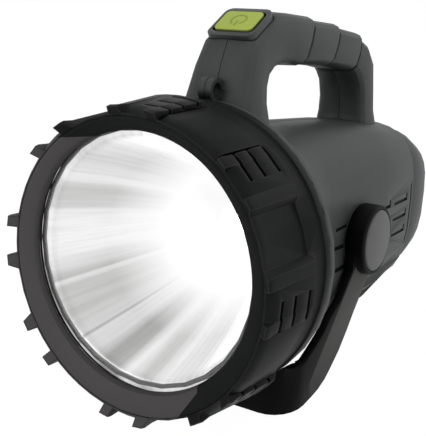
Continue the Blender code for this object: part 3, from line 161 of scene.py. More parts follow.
world = bpy.data.worlds.new("studio")
bpy.context.scene.world = world
world.use_nodes = True
room = world.node_tree.nodes["Background"]
room.inputs["Color"].default_value = WHITE
level = add_node(world.node_tree, "MapRange", {"To Min": FILL_LIGHT, "To Max": 1.0},
                 {"Value": seen_directly(world.node_tree)})
world.node_tree.links.new(level.outputs[0], room.inputs["Strength"])
print("floor", round(floor.dimensions.x), "m wide")

# %% [markdown]
# ## Light
#
# Dark plastic shows its form by soft, even light. One large soft box stands in front on the left
# and lights the ring's face, one at the right lights the barrel, and two weaker ones, above and
# behind on the right, draw the handle's top and the barrel's far end. They stay at a plain level,
# at which a colour renders about as it is written.

# %% Lamps
AIM = Vector((0, 0, 0.09))
soft_boxes = {  # name: place, side of the square, watts
    "side_from_the_right": ((1.5, -0.5, 0.5), 0.9, 7),
    "front_from_the_left": ((-0.5, -1.4, 0.8), 0.9, 12),
    "top": ((0.6, 0.0, 1.6), 1.0, 5.5),
    "rear_from_the_right": ((0.9, 1.3, 0.8), 0.9, 3.5),
}
for name, (place, side, watts) in soft_boxes.items():
    aim = (AIM - Vector(place)).to_track_quat("-Z", "Y").to_euler()
    bpy.ops.object.light_add(type="AREA", location=place, rotation=aim)
    box_light = bpy.context.object
    box_light.name = name
    box_light.data.size = side
    box_light.data.energy = watts
print(len(soft_boxes), "soft boxes")

# %% [markdown]
# ## Moulded plastics
#
# The housing is ABS with a spark-eroded texture: tiny pits that break up the gloss. The armour
# ring is a rubbery over-mould, the stand a glass-filled nylon and the front ring a satin ABS. They
# differ in colour, gloss and grain, so one recipe serves them all. Slots and corners that see
# little of the sky get painted shade in their colour, darker still where the shade would fall.

# %% A recipe for moulded plastic
PAINTED_SHADE_REACHES = ((4, 0.15, 0.75), (45, 0.35, 0.9))  # reach in mm, openness where the painted shade is darkest, and where none is painted
SHADE_DARKEST, PATCH_MM = 0.2, 22


def darkened(tree, colour, share):
    """Multiply a colour by a share."""
    return add_node(tree, "Mix", {"data_type": "RGBA", "blend_type": "MULTIPLY", 0: 1.0},
                    {6: colour, 7: share}).outputs[2]


def with_painted_shade(tree, colour):
    """Paint shade into a colour in slots and grooves, and more softly in deep corners."""
    for reach_mm, closed, opened in PAINTED_SHADE_REACHES:
        sky = add_node(tree, "AmbientOcclusion", {"Distance": reach_mm * MM, "samples": 8})
        share = add_node(tree, "MapRange",
                         {"From Min": closed, "From Max": opened, "To Min": SHADE_DARKEST},
                         {"Value": sky.outputs["AO"]})
        colour = darkened(tree, colour, share.outputs[0])
    return colour


def moulded(name, dark, pale, roughness, grain_mm, depth_mm, specular=0.35):
    """Moulded plastic: two close shades in soft patches with painted shade in crevices, uneven
    gloss, and a fine raised grain.
    """
    finish, tree, shader = new_finish(name, Specular_IOR_Level=specular)
    where = add_node(tree, "TexCoord").outputs["Object"]
    patches = add_node(tree, "TexNoise", {"Scale": 1 / (PATCH_MM * MM), "Detail": 3.0},
                       {"Vector": where}).outputs["Fac"]
    shade = add_node(tree, "ValToRGB", {"name": "two_shades"}, {"Fac": patches})
    low, high = shade.color_ramp.elements
    low.position, high.position = 0.35, 0.65
    low.color, high.color = linear(dark), linear(pale)
    # Painted shade: slots and corners darken the base colour.
    tree.links.new(with_painted_shade(tree, shade.outputs["Color"]), shader.inputs["Base Color"])
    gloss = add_node(tree, "MapRange", {"To Min": roughness - 0.05, "To Max": roughness + 0.06},
                     {"Value": patches})
    tree.links.new(gloss.outputs[0], shader.inputs["Roughness"])
    grain = add_node(tree, "TexNoise", {"Scale": 1 / (grain_mm * MM), "Detail": 2.0},
                     {"Vector": where})
    raised = add_node(tree, "Bump", {"Strength": 0.6, "Distance": depth_mm * MM},
                      {"Height": grain.outputs["Fac"]})
    tree.links.new(raised.outputs[0], shader.inputs["Normal"])
    return finish


# The grain of the housing is finer than a pixel here, so it is drawn at 0.7 mm.
housing_abs = moulded("spark_textured_abs", "#3d403f", "#424544", 0.50, 0.7, 0.05, 0.15)
armour_tpe = moulded("over_moulded_tpe", "#121313", "#171818", 0.48, 0.5, 0.03, 0.05)
bezel_abs = moulded("satin_abs_ring", "#121313", "#161717", 0.45, 0.5, 0.02, 0.05)
stand_nylon = moulded("glass_filled_nylon", "#0d0d0d", "#111111", 0.50, 0.6, 0.04, 0.05)
cap_abs = moulded("satin_grey_abs", "#525452", "#575957", 0.45, 0.6, 0.03, 0.2)
frame_abs = moulded("button_frame_abs", "#2e3030", "#343636", 0.40, 0.5, 0.02)
rubber = moulded("matt_epdm_rubber", "#1b1b1b", "#202020", 0.75, 0.4, 0.03, 0.25)
inner_abs = moulded("plain_black_abs", "#1d1d1d", "#222222", 0.50, 0.6, 0.03)
print("shade patches on the plastics are about", PATCH_MM, "mm across")

# %% [markdown]
# ## Where the ring turns from charcoal to black
#
# The lower left of the front ring and its lugs are a lighter charcoal, and the colour changes
# along two straight lines. The finish therefore reads its place in the head's own frame: a Mapping
# node of the Texture kind takes away the head's place and its tilt. The armour's rounded edges get
# a painted highlight, a little lighter than its faces, where light would catch them.

# %% Two tones on the ring
HEAD = Vector((0, -0.13181, 0.09178))
TIP = math.radians(8.536)
CHARCOAL = "#4b494a"
SOFT_MM = 0.1  # half the width over which one colour turns into the other


def head_place(tree):
    """Object coordinates turned into the head's frame: X across, Y back from the lip, Z up."""
    where = add_node(tree, "TexCoord").outputs["Object"]
    place = add_node(tree, "Mapping", {"vector_type": "TEXTURE", "Location": HEAD,
                                       "Rotation": (-TIP, 0, 0)}, {"Vector": where})
    return add_node(tree, "SeparateXYZ", None, {"Vector": place.outputs[0]}).outputs


def step_between(tree, low_mm, high_mm, value):
    """Zero before the first place, one after the second, with a soft edge between them."""
    return add_node(tree, "MapRange", {"From Min": low_mm * MM, "From Max": high_mm * MM},
                    {"Value": value}).outputs[0]


def narrowed(tree, mask, low_mm, high_mm, value):
    """Keep a mask only where a value is past a soft step."""
    return add_node(tree, "Math", {"operation": "MULTIPLY"},
                    {0: mask, 1: step_between(tree, low_mm, high_mm, value)}).outputs[0]


def slanted(tree, value, slope, other):
    """The value plus a slope times another one, which tells the sides of a slanting line."""
    return add_node(tree, "Math", {"operation": "MULTIPLY_ADD", 1: slope},
                    {0: other, 2: value}).outputs[0]


def laid_over(tree, colour, tone, mask):
    """Lay a tone over a colour where the mask is one."""
    return add_node(tree, "Mix", {"data_type": "RGBA", 7: linear(tone)},
                    {0: mask, 6: colour}).outputs[2]


def recoloured(finish, tone, mask):
    """Lay a tone over a plastic's own two shades, below the painted shade in its crevices."""
    tree = finish.node_tree
    colour = laid_over(tree, tree.nodes["two_shades"].outputs["Color"], tone, mask)
    tree.links.new(with_painted_shade(tree, colour), tree.nodes["Principled BSDF"].inputs["Base Color"])


def charcoal_part(finish, depth_mm):
    """Charcoal on the lower left of the ring's front, down to this depth behind the lip."""
    tree = finish.node_tree
    x, y, z = head_place(tree)
    lines = (  # how far out each line lies, and what it limits: the top, the right, the middle
        (58.2, slanted(tree, z, -0.115, x)), (65.2, slanted(tree, x, -0.61, z)),
        (9.2, slanted(tree, x, 0.558, z)),
    )
    mask = step_between(tree, depth_mm, depth_mm - 2 * SOFT_MM, y)
    for limit_mm, value in lines:
        mask = narrowed(tree, mask, limit_mm + SOFT_MM, limit_mm - SOFT_MM, value)
    recoloured(finish, CHARCOAL, mask)


def painted_edge_highlight(finish, tone, radius_mm):
    """Painted highlight: where a wide bevel would turn the surface away from its own normal, the
    tone is lighter.
    """
    tree = finish.node_tree
    shader = tree.nodes["Principled BSDF"]
    colour = shader.inputs["Base Color"].links[0].from_socket
    rounded = add_node(tree, "Bevel", {"Radius": radius_mm * MM, "samples": 4}).outputs[0]
    plain = add_node(tree, "NewGeometry").outputs["Normal"]
    match = add_node(tree, "VectorMath", {"operation": "DOT_PRODUCT"},
                     {0: rounded, 1: plain}).outputs["Value"]
    edge = add_node(tree, "MapRange", {"From Min": 0.985, "From Max": 0.86}, {"Value": match})
    tree.links.new(laid_over(tree, colour, tone, edge.outputs[0]), shader.inputs["Base Color"])


charcoal_part(bezel_abs, 30)
charcoal_part(armour_tpe, 6)
# Painted highlight on the armour's rounded edges.
painted_edge_highlight(armour_tpe, "#2e2e2d", 1.2)
print("the head is tipped by", round(math.degrees(TIP), 1), "degrees")

# %% [markdown]
# ## Painted light on the stand's flanks
#
# The stand is black, but the flat outer faces of its arms, which face the light, get a painted
# light grey as pale as the housing. The face is a plane at one distance from the middle, so a mask
# on the distance across finds it, and three more limits keep it off the front edge, the bow and
# the hub.

# %% Painted light on the arms
PIVOT, HUB_MM = Vector((0, 12.88, 61.97)) * MM, 19.4
ARM_LEAN = 1.289  # how far the arm's front edge runs back for each step up


def painted_lit_flanks(finish, tone):
    """Paint a lit grey, as pale as the housing, over the outer faces of the arms."""
    tree = finish.node_tree
    where = add_node(tree, "TexCoord").outputs["Object"]
    x, y, z = add_node(tree, "SeparateXYZ", None, {"Vector": where}).outputs
    across = add_node(tree, "Math", {"operation": "ABSOLUTE"}, {0: x}).outputs[0]
    in_plane = add_node(tree, "CombineXYZ", None, {"Y": y, "Z": z}).outputs[0]
    from_hub = add_node(tree, "VectorMath", {"operation": "DISTANCE", 1: (0, PIVOT.y, PIVOT.z)},
                        {0: in_plane}).outputs["Value"]
    mask = step_between(tree, 46.9, 47.2, across)
    mask = narrowed(tree, mask, 49.6, 49.4, across)
    mask = narrowed(tree, mask, -71.6, -70.2, slanted(tree, y, -ARM_LEAN, z))
    mask = narrowed(tree, mask, -60.5, -57.5, y)
    mask = narrowed(tree, mask, HUB_MM, HUB_MM + 0.3, from_hub)
    recoloured(finish, tone, mask)


painted_lit_flanks(stand_nylon, "#4a4b49")

# %% [markdown]
# ## The mirror film
#
# The bowl is ABS with a vapour-deposited film of aluminium, so it is a metal mirror. It isn't
# smooth: shallow facets run from the LED to the rim, and each one throws another part of the room
# at the eye, so that bright and grey rays alternate. These rays are painted reflections in the
# film's glow: their tones are set by the angle round the bowl, thin streaks run along them, and
# all of it fades to a painted white glare next to the LED.

# %% Mirror film
BRIGHT, PALE, SOFT, DIM, DARK = "#fcfcfc", "#dedede", "#c8c8c7", "#b3b3b2", "#a0a09f"
painted_reflection_tones = [  # degrees round the bowl from its right side: where each painted reflection's tone sets in
    (-180, BRIGHT), (-172, BRIGHT), (-164, PALE), (-159, DIM), (-157, BRIGHT), (-155, SOFT),
    (-140, SOFT), (-129, PALE), (-128, DARK), (-127, PALE), (-118, PALE), (-112, DARK),
    (-104, DIM), (-98, BRIGHT), (-88, SOFT), (-76, BRIGHT), (-62, PALE), (-50, BRIGHT),
    (100, BRIGHT), (118, PALE), (132, PALE), (146, BRIGHT), (152, SOFT), (163, PALE),
    (166, BRIGHT), (180, BRIGHT),
]
PAINTED_GLARE = 1.2  # painted glare: how much brighter than paper white the film is next to the LED

# The film glows: its emission carries the painted reflections and the painted glare of the LED.
mirror_film, tree, shader = new_finish("aluminised_bowl", Metallic=1.0, Roughness=0.22,
                                       Base_Color=linear("#595959"), Emission_Strength=0.78)
ray = add_node(tree, "Attribute", {"attribute_name": "ray"}).outputs["Vector"]
ray_way, ray_rise, ray_out = add_node(tree, "SeparateXYZ", None, {"Vector": ray}).outputs
angle = add_node(tree, "Math", {"operation": "ARCTAN2"}, {0: ray_rise, 1: ray_way}).outputs[0]
round_share = add_node(tree, "MapRange", {"From Min": -math.pi, "From Max": math.pi},
                       {"Value": angle}).outputs[0]
facets = add_node(tree, "ValToRGB", None, {"Fac": round_share})
stops = facets.color_ramp.elements
while len(stops) < len(painted_reflection_tones):
    stops.new(0.5)
for stop, (degrees, tone) in zip(stops, painted_reflection_tones):
    stop.position = (degrees + 180) / 360
    stop.color = linear(tone)

drawn_out = add_node(tree, "Math", {"operation": "MULTIPLY", 1: 0.10}, {0: ray_out}).outputs[0]
way = add_node(tree, "CombineXYZ", None, {"X": ray_way, "Y": ray_rise, "Z": drawn_out}).outputs[0]
streaks = add_node(tree, "TexNoise", {"Scale": 16.0, "Detail": 3.0, "Roughness": 0.6},
                   {"Vector": way}).outputs["Fac"]
thin = add_node(tree, "MapRange",
                {"From Min": 0.36, "From Max": 0.62, "To Min": 0.9, "To Max": 1.05},
                {"Value": streaks}).outputs[0]
near_led = add_node(tree, "MapRange", {"From Min": 0.74, "From Max": 0.46},
                    {"Value": ray_out}).outputs[0]
lit = add_node(tree, "Mix", {"data_type": "RGBA", 7: (PAINTED_GLARE, PAINTED_GLARE, PAINTED_GLARE, 1)},
               {0: near_led, 6: darkened(tree, facets.outputs["Color"], thin)}).outputs[2]
tree.links.new(lit, shader.inputs["Emission Color"])
ripple = add_node(tree, "Bump", {"Strength": 0.25, "Distance": 0.6 * MM}, {"Height": streaks})
tree.links.new(ripple.outputs[0], shader.inputs["Normal"])
print(len(stops), "tones round the bowl")

# %% [markdown]
# ## Clear, soft and lit pieces
#
# The lens is clear polycarbonate over a white silicone gasket. The LED is a yellow phosphor under
# a dome, and it stands on a board with a white solder mask, which glows a little: painted LED
# light.

# %% Lens, gasket, LED and board
PC_INDEX = 1.49
clear_pc, _, _ = new_finish("clear_polycarbonate", Roughness=0.0, IOR=PC_INDEX,
                            Base_Color=WHITE, Transmission_Weight=1.0)
silicone = moulded("white_silicone", "#d8d8d6", "#e4e4e2", 0.55, 0.5, 0.02, 0.4)
phosphor, _, _ = new_finish("led_phosphor", Roughness=0.35, Base_Color=linear("#f4e9a8"),
                            Emission_Color=linear("#fffaf0"), Emission_Strength=6.0)
board_white = moulded("white_solder_mask", "#d9dad6", "#e6e7e3", 0.4, 0.5, 0.01, 0.4)
# Painted glow: the board emits a little, standing in for the LED's light on it.
board_glow_painted = board_white.node_tree.nodes["Principled BSDF"]
board_glow_painted.inputs["Emission Color"].default_value = WHITE
board_glow_painted.inputs["Emission Strength"].default_value = 0.9
print("light passes the lens at", round(100 / PC_INDEX), "percent of its speed in air")

# %% [markdown]
# ## Metals and the other finishes
#
# The screws are zinc-plated, the contact strips nickel-plated and the heat sink is a plain
# die casting. Bare metal shows its tool marks as two close shades and as uneven gloss. The rest
# are coloured plastics, made by the recipe above.

# %% Metals and inner pieces
def metal(name, dark, pale, roughness, brush_mm):
    """Bare metal: two close shades and uneven gloss at the size of the tool's marks."""
    finish, tree, shader = new_finish(name, Metallic=1.0)
    where = add_node(tree, "TexCoord").outputs["Object"]
    marks = add_node(tree, "TexNoise", {"Scale": 1 / (brush_mm * MM), "Detail": 3.0},
                     {"Vector": where}).outputs["Fac"]
    shade = add_node(tree, "ValToRGB", None, {"Fac": marks})
    low, high = shade.color_ramp.elements
    low.color, high.color = linear(dark), linear(pale)
    tree.links.new(shade.outputs["Color"], shader.inputs["Base Color"])
    gloss = add_node(tree, "MapRange", {"To Min": roughness - 0.06, "To Max": roughness + 0.08},
                     {"Value": marks})
    tree.links.new(gloss.outputs[0], shader.inputs["Roughness"])
    return finish


zinc = metal("zinc_plated_steel", "#a5a6a8", "#c2c3c5", 0.32, 1.5)
nickel = metal("nickel_plated_strip", "#b3ada2", "#cbc5ba", 0.28, 2.0)
sink_aluminium = metal("die_cast_aluminium", "#8f9091", "#a7a8a9", 0.45, 3.0)
board_green = moulded("green_solder_mask", "#1d5a35", "#236a3f", 0.35, 0.8, 0.02, 0.4)
natural_nylon = moulded("natural_nylon", "#d9d5c8", "#e1ddd1", 0.45, 0.8, 0.02, 0.3)
sleeve = moulded("heat_shrink_sleeve", "#27618f", "#2d6c9e", 0.35, 1.2, 0.02, 0.4)
lime_pad = moulded("lime_silicone_pad", "#a4b548", "#adbe50", 0.45, 0.6, 0.02, 0.35)
lime_mark = moulded("darker_lime_mark", "#8a9a33", "#91a239", 0.5, 0.6, 0.02, 0.3)
print(len(bpy.data.materials), "finishes")

# %% [markdown]
# ## Softened copies of the moulded pieces
#
# No moulded edge is sharp: it has a radius of a few tenths of a millimetre, which catches a thin
# line of light. Each shell of the CAD model is copied, its loose triangles are welded and its flat
# faces joined again, and a small bevel rounds the edges. The frame round the button is rounder
# than the rest. The CAD piece itself stays as it is.

# %% Copy, weld and round a CAD piece
BODY_OF = {node: body for body, nodes in frame["record"]["behaviour"]["bodies"].items()
           for node in nodes}
EDGE_MM, FRAME_EDGE_MM = 0.35, 0.9
WELD_MM, FLAT_DEG, SHARP_DEG, SMOOTH_DEG = 0.02, 0.6, 32, 38


def pick_only(*objects):
    """Select these objects alone, and make the last one active."""
    bpy.ops.object.select_all(action="DESELECT")
    for chosen in objects:
        chosen.select_set(True)
        bpy.context.view_layer.objects.active = chosen


def hand_in(piece, node):
    """Let a finished piece stand for a CAD piece, and move with that piece's body."""
    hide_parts(node)
    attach(piece, BODY_OF[node])


def softened(node, finish, edge_mm):
    """Copy a CAD piece, weld it, round its sharp edges, and let the copy stand for it."""
    pick_only(frame["nodes"][node])
    bpy.ops.object.duplicate()
    piece = bpy.context.object
    piece.name = node + "_moulded"
    bpy.ops.object.parent_clear(type="CLEAR_KEEP_TRANSFORM")
    del piece["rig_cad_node"]
    bpy.ops.object.mode_set(mode="EDIT")
    bpy.ops.mesh.select_all(action="SELECT")
    bpy.ops.mesh.remove_doubles(threshold=WELD_MM * MM)
    bpy.ops.mesh.customdata_custom_splitnormals_clear()
    bpy.ops.mesh.dissolve_limited(angle_limit=math.radians(FLAT_DEG))
    bpy.ops.object.mode_set(mode="OBJECT")
    rounding = piece.modifiers.new("rounded_edges", "BEVEL")
    rounding.width = edge_mm * MM
    rounding.segments = 2
    rounding.angle_limit = math.radians(SHARP_DEG)
    bpy.ops.object.modifier_apply(modifier=rounding.name)
    bpy.ops.object.shade_smooth_by_angle(angle=math.radians(SMOOTH_DEG))
    piece.data.materials.clear()
    piece.data.materials.append(finish)
    hand_in(piece, node)
    return piece


shells = {
    "housing_left": (housing_abs, "housing"), "housing_right": (housing_abs, "housing"),
    "bumper_ring": (armour_tpe, "bumper_ring"), "stand_bracket": (stand_nylon, "stand_bracket"),
    "rear_cap": (housing_abs, "housing"), "pivot_cap_left": (cap_abs, "pivot_caps"),
    "pivot_cap_right": (cap_abs, "pivot_caps"), "switch_frame": (frame_abs, "black_plastic"),
    "charge_port_cover": (rubber, "rubber"), "power_button": (lime_pad, "power_button"),
}
for node, (finish, slot) in shells.items():
    piece = softened(node, finish, FRAME_EDGE_MM if node == "switch_frame" else EDGE_MM)
    print(node, len(piece.data.polygons), "faces")

# %% [markdown]
# ## A fuller belly, and an arm that reaches further
#
# The real housing is squarer below than the CAD sections, and the arms of the stand are wider
# where they pass the armour. A drag with proportional editing does both: the chosen corners move
# by a few millimetres, and what lies near them follows with a smooth falloff.

# %% Drag corners with a smooth falloff
def dragged(piece, chosen, move_mm, reach_mm):
    """Move the chosen points of a piece, and let all that lies within reach follow."""
    pick_only(piece)
    bpy.ops.object.mode_set(mode="EDIT")
    bpy.ops.mesh.select_all(action="DESELECT")
    bpy.ops.object.mode_set(mode="OBJECT")
    for corner in piece.data.vertices:
        corner.select = chosen(corner.co)
    count = sum(corner.select for corner in piece.data.vertices)
    bpy.ops.object.mode_set(mode="EDIT")
    bpy.ops.transform.translate(value=[size * MM for size in move_mm], use_proportional_edit=True,
                                proportional_edit_falloff="SMOOTH",
                                proportional_size=reach_mm * MM)
    bpy.ops.object.mode_set(mode="OBJECT")
    return count


def on_belly(side, place):
    """True for points of the lower corner of the barrel on this side, -1 or 1."""
    across, back, up = Matrix.Rotation(TIP, 3, "X") @ (place - HEAD)
    corner_deg = math.degrees(math.atan2(up, side * across))
    return side * across > 0 and -66 < corner_deg < -35 and 90 * MM < back < 200 * MM


def on_arm(side, place):
    """True for points on the front edge of an arm, where it passes the armour."""
    return (side * place.x > 40 * MM and place.y - ARM_LEAN * place.z < -57 * MM
            and 8 * MM < place.z < 34 * MM and place.y > -60 * MM)


def on_bow(side, place):
    """True for points of the bow under the head, next to an arm."""
    return (30 * MM < side * place.x < 43 * MM and place.y < -50 * MM
            and 9 * MM < place.z < 24 * MM)


DRAGS = (  # piece, its chosen points, the move outwards, back and up in mm, and the reach in mm
    ("housing_left", on_belly, (3, 0, -4.5), 24), ("housing_right", on_belly, (3, 0, -4.5), 24),
    ("stand_bracket", on_arm, (0, -5, 3.2), 14), ("stand_bracket", on_bow, (0, 0, 5), 9),
)
for side in (-1, 1):
    for node, region, (outwards, back, up), reach_mm in DRAGS:
        moved = dragged(bpy.data.objects[node + "_moulded"],
                        lambda place: region(side, place), (side * outwards, back, up), reach_mm)
        print(node, "moved points:", moved)

# %% [markdown]
# ## Grooves across the grip
#
# The grip has three ledges, each with a groove behind it, so that a wet hand finds hold. A groove
# is cut by bisecting the outer skin three times and sinking the middle loop.

# %% Sink a groove behind each ledge
GRIP_LEDGES = (  # inner and outer end of each ledge, back and up in mm
    ((0.2, 157.6), (13.6, 180.6)), ((32.2, 151.7), (44.7, 172.4)), ((63.3, 143.5), (74.4, 162.9)),
)
GROOVE_BACK, GROOVE_HALF, GROOVE_SINK = 3.0 * MM, 1.4 * MM, 1.4 * MM
GRIP_NEAR, GRIP_SPARE, SEAM_WIDTH = 60 * MM, 3 * MM, 0.4 * MM
GROOVE_SMOOTH_DEG = 36


def ledge_frame(inner, outer):
    """A ledge's middle and half length, the way up along it, and the way back from it."""
    start, end = Vector((0, *inner)) * MM, Vector((0, *outer)) * MM
    lift = (end - start).normalized()
    return (start + end) / 2, (end - start).length / 2, lift, Vector((0, lift.z, -lift.y))


def grooved(piece, inner, outer):
    """Cut three loops round the grip behind one ledge, and sink the middle one."""
    middle, half, lift, ahead = ledge_frame(inner, outer)
    pick_only(piece)

    def near(place):
        gap = place - middle
        return abs(gap.dot(ahead)) < GRIP_NEAR and abs(gap.dot(lift)) < half + GRIP_SPARE

    for step in (-1, 0, 1):
        for face in piece.data.polygons:
            outward = face.center - middle
            outward -= ahead * outward.dot(ahead)
            face.select = near(face.center) and face.normal.dot(outward) > 0
        bpy.ops.object.mode_set(mode="EDIT")
        bpy.ops.mesh.select_mode(type="FACE")
        bpy.ops.mesh.bisect(plane_co=middle + ahead * (GROOVE_BACK + step * GROOVE_HALF),
                            plane_no=ahead)
        bpy.ops.object.mode_set(mode="OBJECT")
    sunk = middle + ahead * GROOVE_BACK
    bpy.ops.object.mode_set(mode="EDIT")
    bpy.ops.mesh.select_mode(type="VERT")
    bpy.ops.mesh.select_all(action="DESELECT")
    bpy.ops.object.mode_set(mode="OBJECT")
    for corner in piece.data.vertices:
        on_plane = abs((corner.co - sunk).dot(ahead)) < 0.01 * MM
        outside = corner.normal.dot(corner.co - middle) > 0 and abs(corner.co.x) > SEAM_WIDTH
        corner.select = on_plane and near(corner.co) and outside
    count = sum(corner.select for corner in piece.data.vertices)
    bpy.ops.object.mode_set(mode="EDIT")
    bpy.ops.transform.shrink_fatten(value=-GROOVE_SINK)
    bpy.ops.mesh.select_mode(type="FACE")
    bpy.ops.object.mode_set(mode="OBJECT")
    bpy.ops.object.shade_smooth_by_angle(angle=math.radians(GROOVE_SMOOTH_DEG))
    return count


for node in ("housing_left", "housing_right"):
    skin = bpy.data.objects[node + "_moulded"]
    for inner_end, outer_end in GRIP_LEDGES:
        print(node, "groove points:", grooved(skin, inner_end, outer_end))

# %% [markdown]
# ## Painted shade in the grooves
#
# The shadow at the groove behind each ledge is painted, so that the grooves read as dark lines.
# The
# finish darkens a band at each groove: the distance from the groove's plane gives the band, and
# the distance from the ledge's middle keeps it on the grip.

# %% Darken the grooves
GROOVE_SHADE_MM = 1.8  # half the width of a band of painted shade
SHADE_CORE_SHARE, SHADED_SHARE = 0.4, 0.3  # how much of it is full painted shade, and the colour left there
GRIP_REACH_MM = 24


def painted_groove_shade(finish):
    """Paint shade into a plastic's colour in a soft band at the groove behind each ledge."""
    tree = finish.node_tree
    base = tree.nodes["Principled BSDF"].inputs["Base Color"]
    colour = base.links[0].from_socket
    where = add_node(tree, "TexCoord").outputs["Object"]
    for inner, outer in GRIP_LEDGES:
        middle, _, _, ahead = ledge_frame(inner, outer)
        gap = add_node(tree, "VectorMath",
                       {"operation": "SUBTRACT", 1: middle + ahead * GROOVE_BACK},
                       {0: where}).outputs[0]
        off = add_node(tree, "VectorMath", {"operation": "DOT_PRODUCT", 1: ahead},
                       {0: gap}).outputs["Value"]
        off = add_node(tree, "Math", {"operation": "ABSOLUTE"}, {0: off}).outputs[0]
        far = add_node(tree, "VectorMath", {"operation": "LENGTH"}, {0: gap}).outputs["Value"]
        mask = step_between(tree, GROOVE_SHADE_MM, GROOVE_SHADE_MM * SHADE_CORE_SHARE, off)
        mask = narrowed(tree, mask, GRIP_REACH_MM + 2, GRIP_REACH_MM, far)
        share = add_node(tree, "MapRange", {"To Min": 1.0, "To Max": SHADED_SHARE}, {"Value": mask})
        colour = darkened(tree, colour, share.outputs[0])
    tree.links.new(colour, base)


painted_groove_shade(housing_abs)
print("grooves darkened:", len(GRIP_LEDGES))

# %% [markdown]
# ## The bowl
#
# The reflector is a parabola turned round the head's axis. By hand it would be a circle that is
# extruded and scaled again and again towards the LED. Each point keeps a ray attribute, made of
# its direction from the axis and its share of the mouth's radius, which the mirror film reads.

# %% Turn a profile by extruding a circle
def turned_by_hand(name, rows, around):
    """Rings of radius, distance back and rise of the centre, each extruded from the last."""
    pick_only()
    last, back, rise = rows[0]
    bpy.ops.mesh.primitive_circle_add(vertices=around, radius=last, location=(0, back, rise),
                                      rotation=(math.pi / 2, 0, 0))
    turned = bpy.context.object
    turned.name = name
    bpy.ops.object.mode_set(mode="EDIT")
    bpy.ops.mesh.select_all(action="SELECT")
    for radius, further, higher in rows[1:]:
        bpy.ops.mesh.extrude_edges_move(
            TRANSFORM_OT_translate={"value": (0, further - back, higher - rise)})
        bpy.ops.transform.resize(value=(radius / last,) * 3, center_override=(0, further, higher))
        last, back, rise = radius, further, higher
    bpy.ops.object.mode_set(mode="OBJECT")
    bpy.ops.object.transform_apply(location=True, rotation=True, scale=True)
    return turned


def onto_head(piece, rise):
    """Put a piece made round the Y axis onto the tipped head, and bake its place into its mesh."""
    pick_only(piece)
    piece.rotation_euler = (-TIP, 0, 0)
    piece.location = HEAD + Matrix.Rotation(-TIP, 3, "X") @ Vector((0, 0, rise))
    bpy.ops.object.transform_apply(location=True, rotation=True, scale=True)


MOUTH, THROAT, FOCAL, FRONT = 54.4 * MM, 8 * MM, 12.9 * MM, 8.3 * MM
RIM, RIM_BEND, RIM_THICK, BOWL_WALL = 60.2 * MM, 56.2 * MM, 1.6 * MM, 1.0 * MM
OPENING_RISE = 2 * MM  # the lens opening lies a little above the head's axis
print("bowl is", round((MOUTH ** 2 - THROAT ** 2) / (4 * FOCAL) / MM, 1), "mm deep")

# %% [markdown]
# The profile starts at the flange, which lies under the lens, turns in at the rim, and follows the
# parabola down to the hole for the LED. A modifier then gives the film the bowl's plastic wall.

# %% The bowl and its rays
BOWL_ROWS = 24
rows = [(RIM, FRONT + RIM_THICK, 0), (RIM, FRONT, 0), (RIM_BEND, FRONT, 0),
        (RIM_BEND - 1.0 * MM, FRONT + 0.3 * MM, 0)]
for step in range(BOWL_ROWS + 1):
    radius = MOUTH + (THROAT - MOUTH) * step / BOWL_ROWS
    rows.append((radius, FRONT + 0.8 * MM + (MOUTH ** 2 - radius ** 2) / (4 * FOCAL), 0))
bowl = turned_by_hand("bowl_mirror", rows, 128)
rays = bowl.data.attributes.new("ray", "FLOAT_VECTOR", "POINT")
for point, corner in zip(rays.data, bowl.data.vertices):
    across, depth, rise = corner.co
    out = math.hypot(across, rise)
    point.vector = (across / out, rise / out, out / MOUTH)
pick_only(bowl)
bpy.ops.object.mode_set(mode="EDIT")
bpy.ops.mesh.select_all(action="SELECT")
bpy.ops.mesh.normals_make_consistent(inside=True)
bpy.ops.object.mode_set(mode="OBJECT")
thickness = bowl.modifiers.new("wall", "SOLIDIFY")
thickness.thickness = BOWL_WALL
thickness.offset = -1.0
bpy.ops.object.modifier_apply(modifier=thickness.name)
bpy.ops.object.shade_smooth_by_angle(angle=math.radians(40))
onto_head(bowl, OPENING_RISE)
bowl.data.materials.append(mirror_film)
hand_in(bowl, "reflector")
print("bowl", len(bowl.data.polygons), "faces")

# %% [markdown]
# ## The sign on the button
#
# The pad carries the common sign for power: a ring that is open at one side, and a bar in the gap.
# A circle is extruded inwards, the gap's faces are deleted, and both shapes are raised a little.
# The pad itself is a little smaller than its opening, so that a thin dark gap shows round it.

# %% Find the pad's middle, and shrink it in its frame
PAD_OUT = Vector((0, -0.38442, 0.92316))
PAD_UP = Vector((0, 0.92316, 0.38442))
PAD_SHRINK = 0.94

pad = bpy.data.objects["power_button_moulded"]
pad_top = max(corner.co.dot(PAD_OUT) for corner in pad.data.vertices)
pad_slope = [corner.co.dot(PAD_UP) for corner in pad.data.vertices
             if corner.co.dot(PAD_OUT) > pad_top - 1 * MM]
pad_middle = PAD_OUT * pad_top + PAD_UP * (max(pad_slope) + min(pad_slope)) / 2
pick_only(pad)
bpy.ops.object.mode_set(mode="EDIT")
bpy.ops.mesh.select_all(action="SELECT")
bpy.ops.transform.resize(value=(PAD_SHRINK,) * 3, center_override=pad_middle)
bpy.ops.object.mode_set(mode="OBJECT")
print("pad, mm up the slope:", round(PAD_SHRINK * (max(pad_slope) - min(pad_slope)) / MM, 1))

# %% [markdown]
# The sign is made flat on the floor and then laid on the pad: its own X stays across the lamp, its
# Y goes up the pad's slope and its Z points out of it.

# %% Power sign
SIGN_RADIUS, SIGN_LINE, SIGN_RISE, SIGN_SINK = 4.4 * MM, 0.9 * MM, 0.12 * MM, 0.04 * MM
BAR_LENGTH, BAR_OUT, GAP_DEG = 4.2 * MM, 3.2 * MM, 32

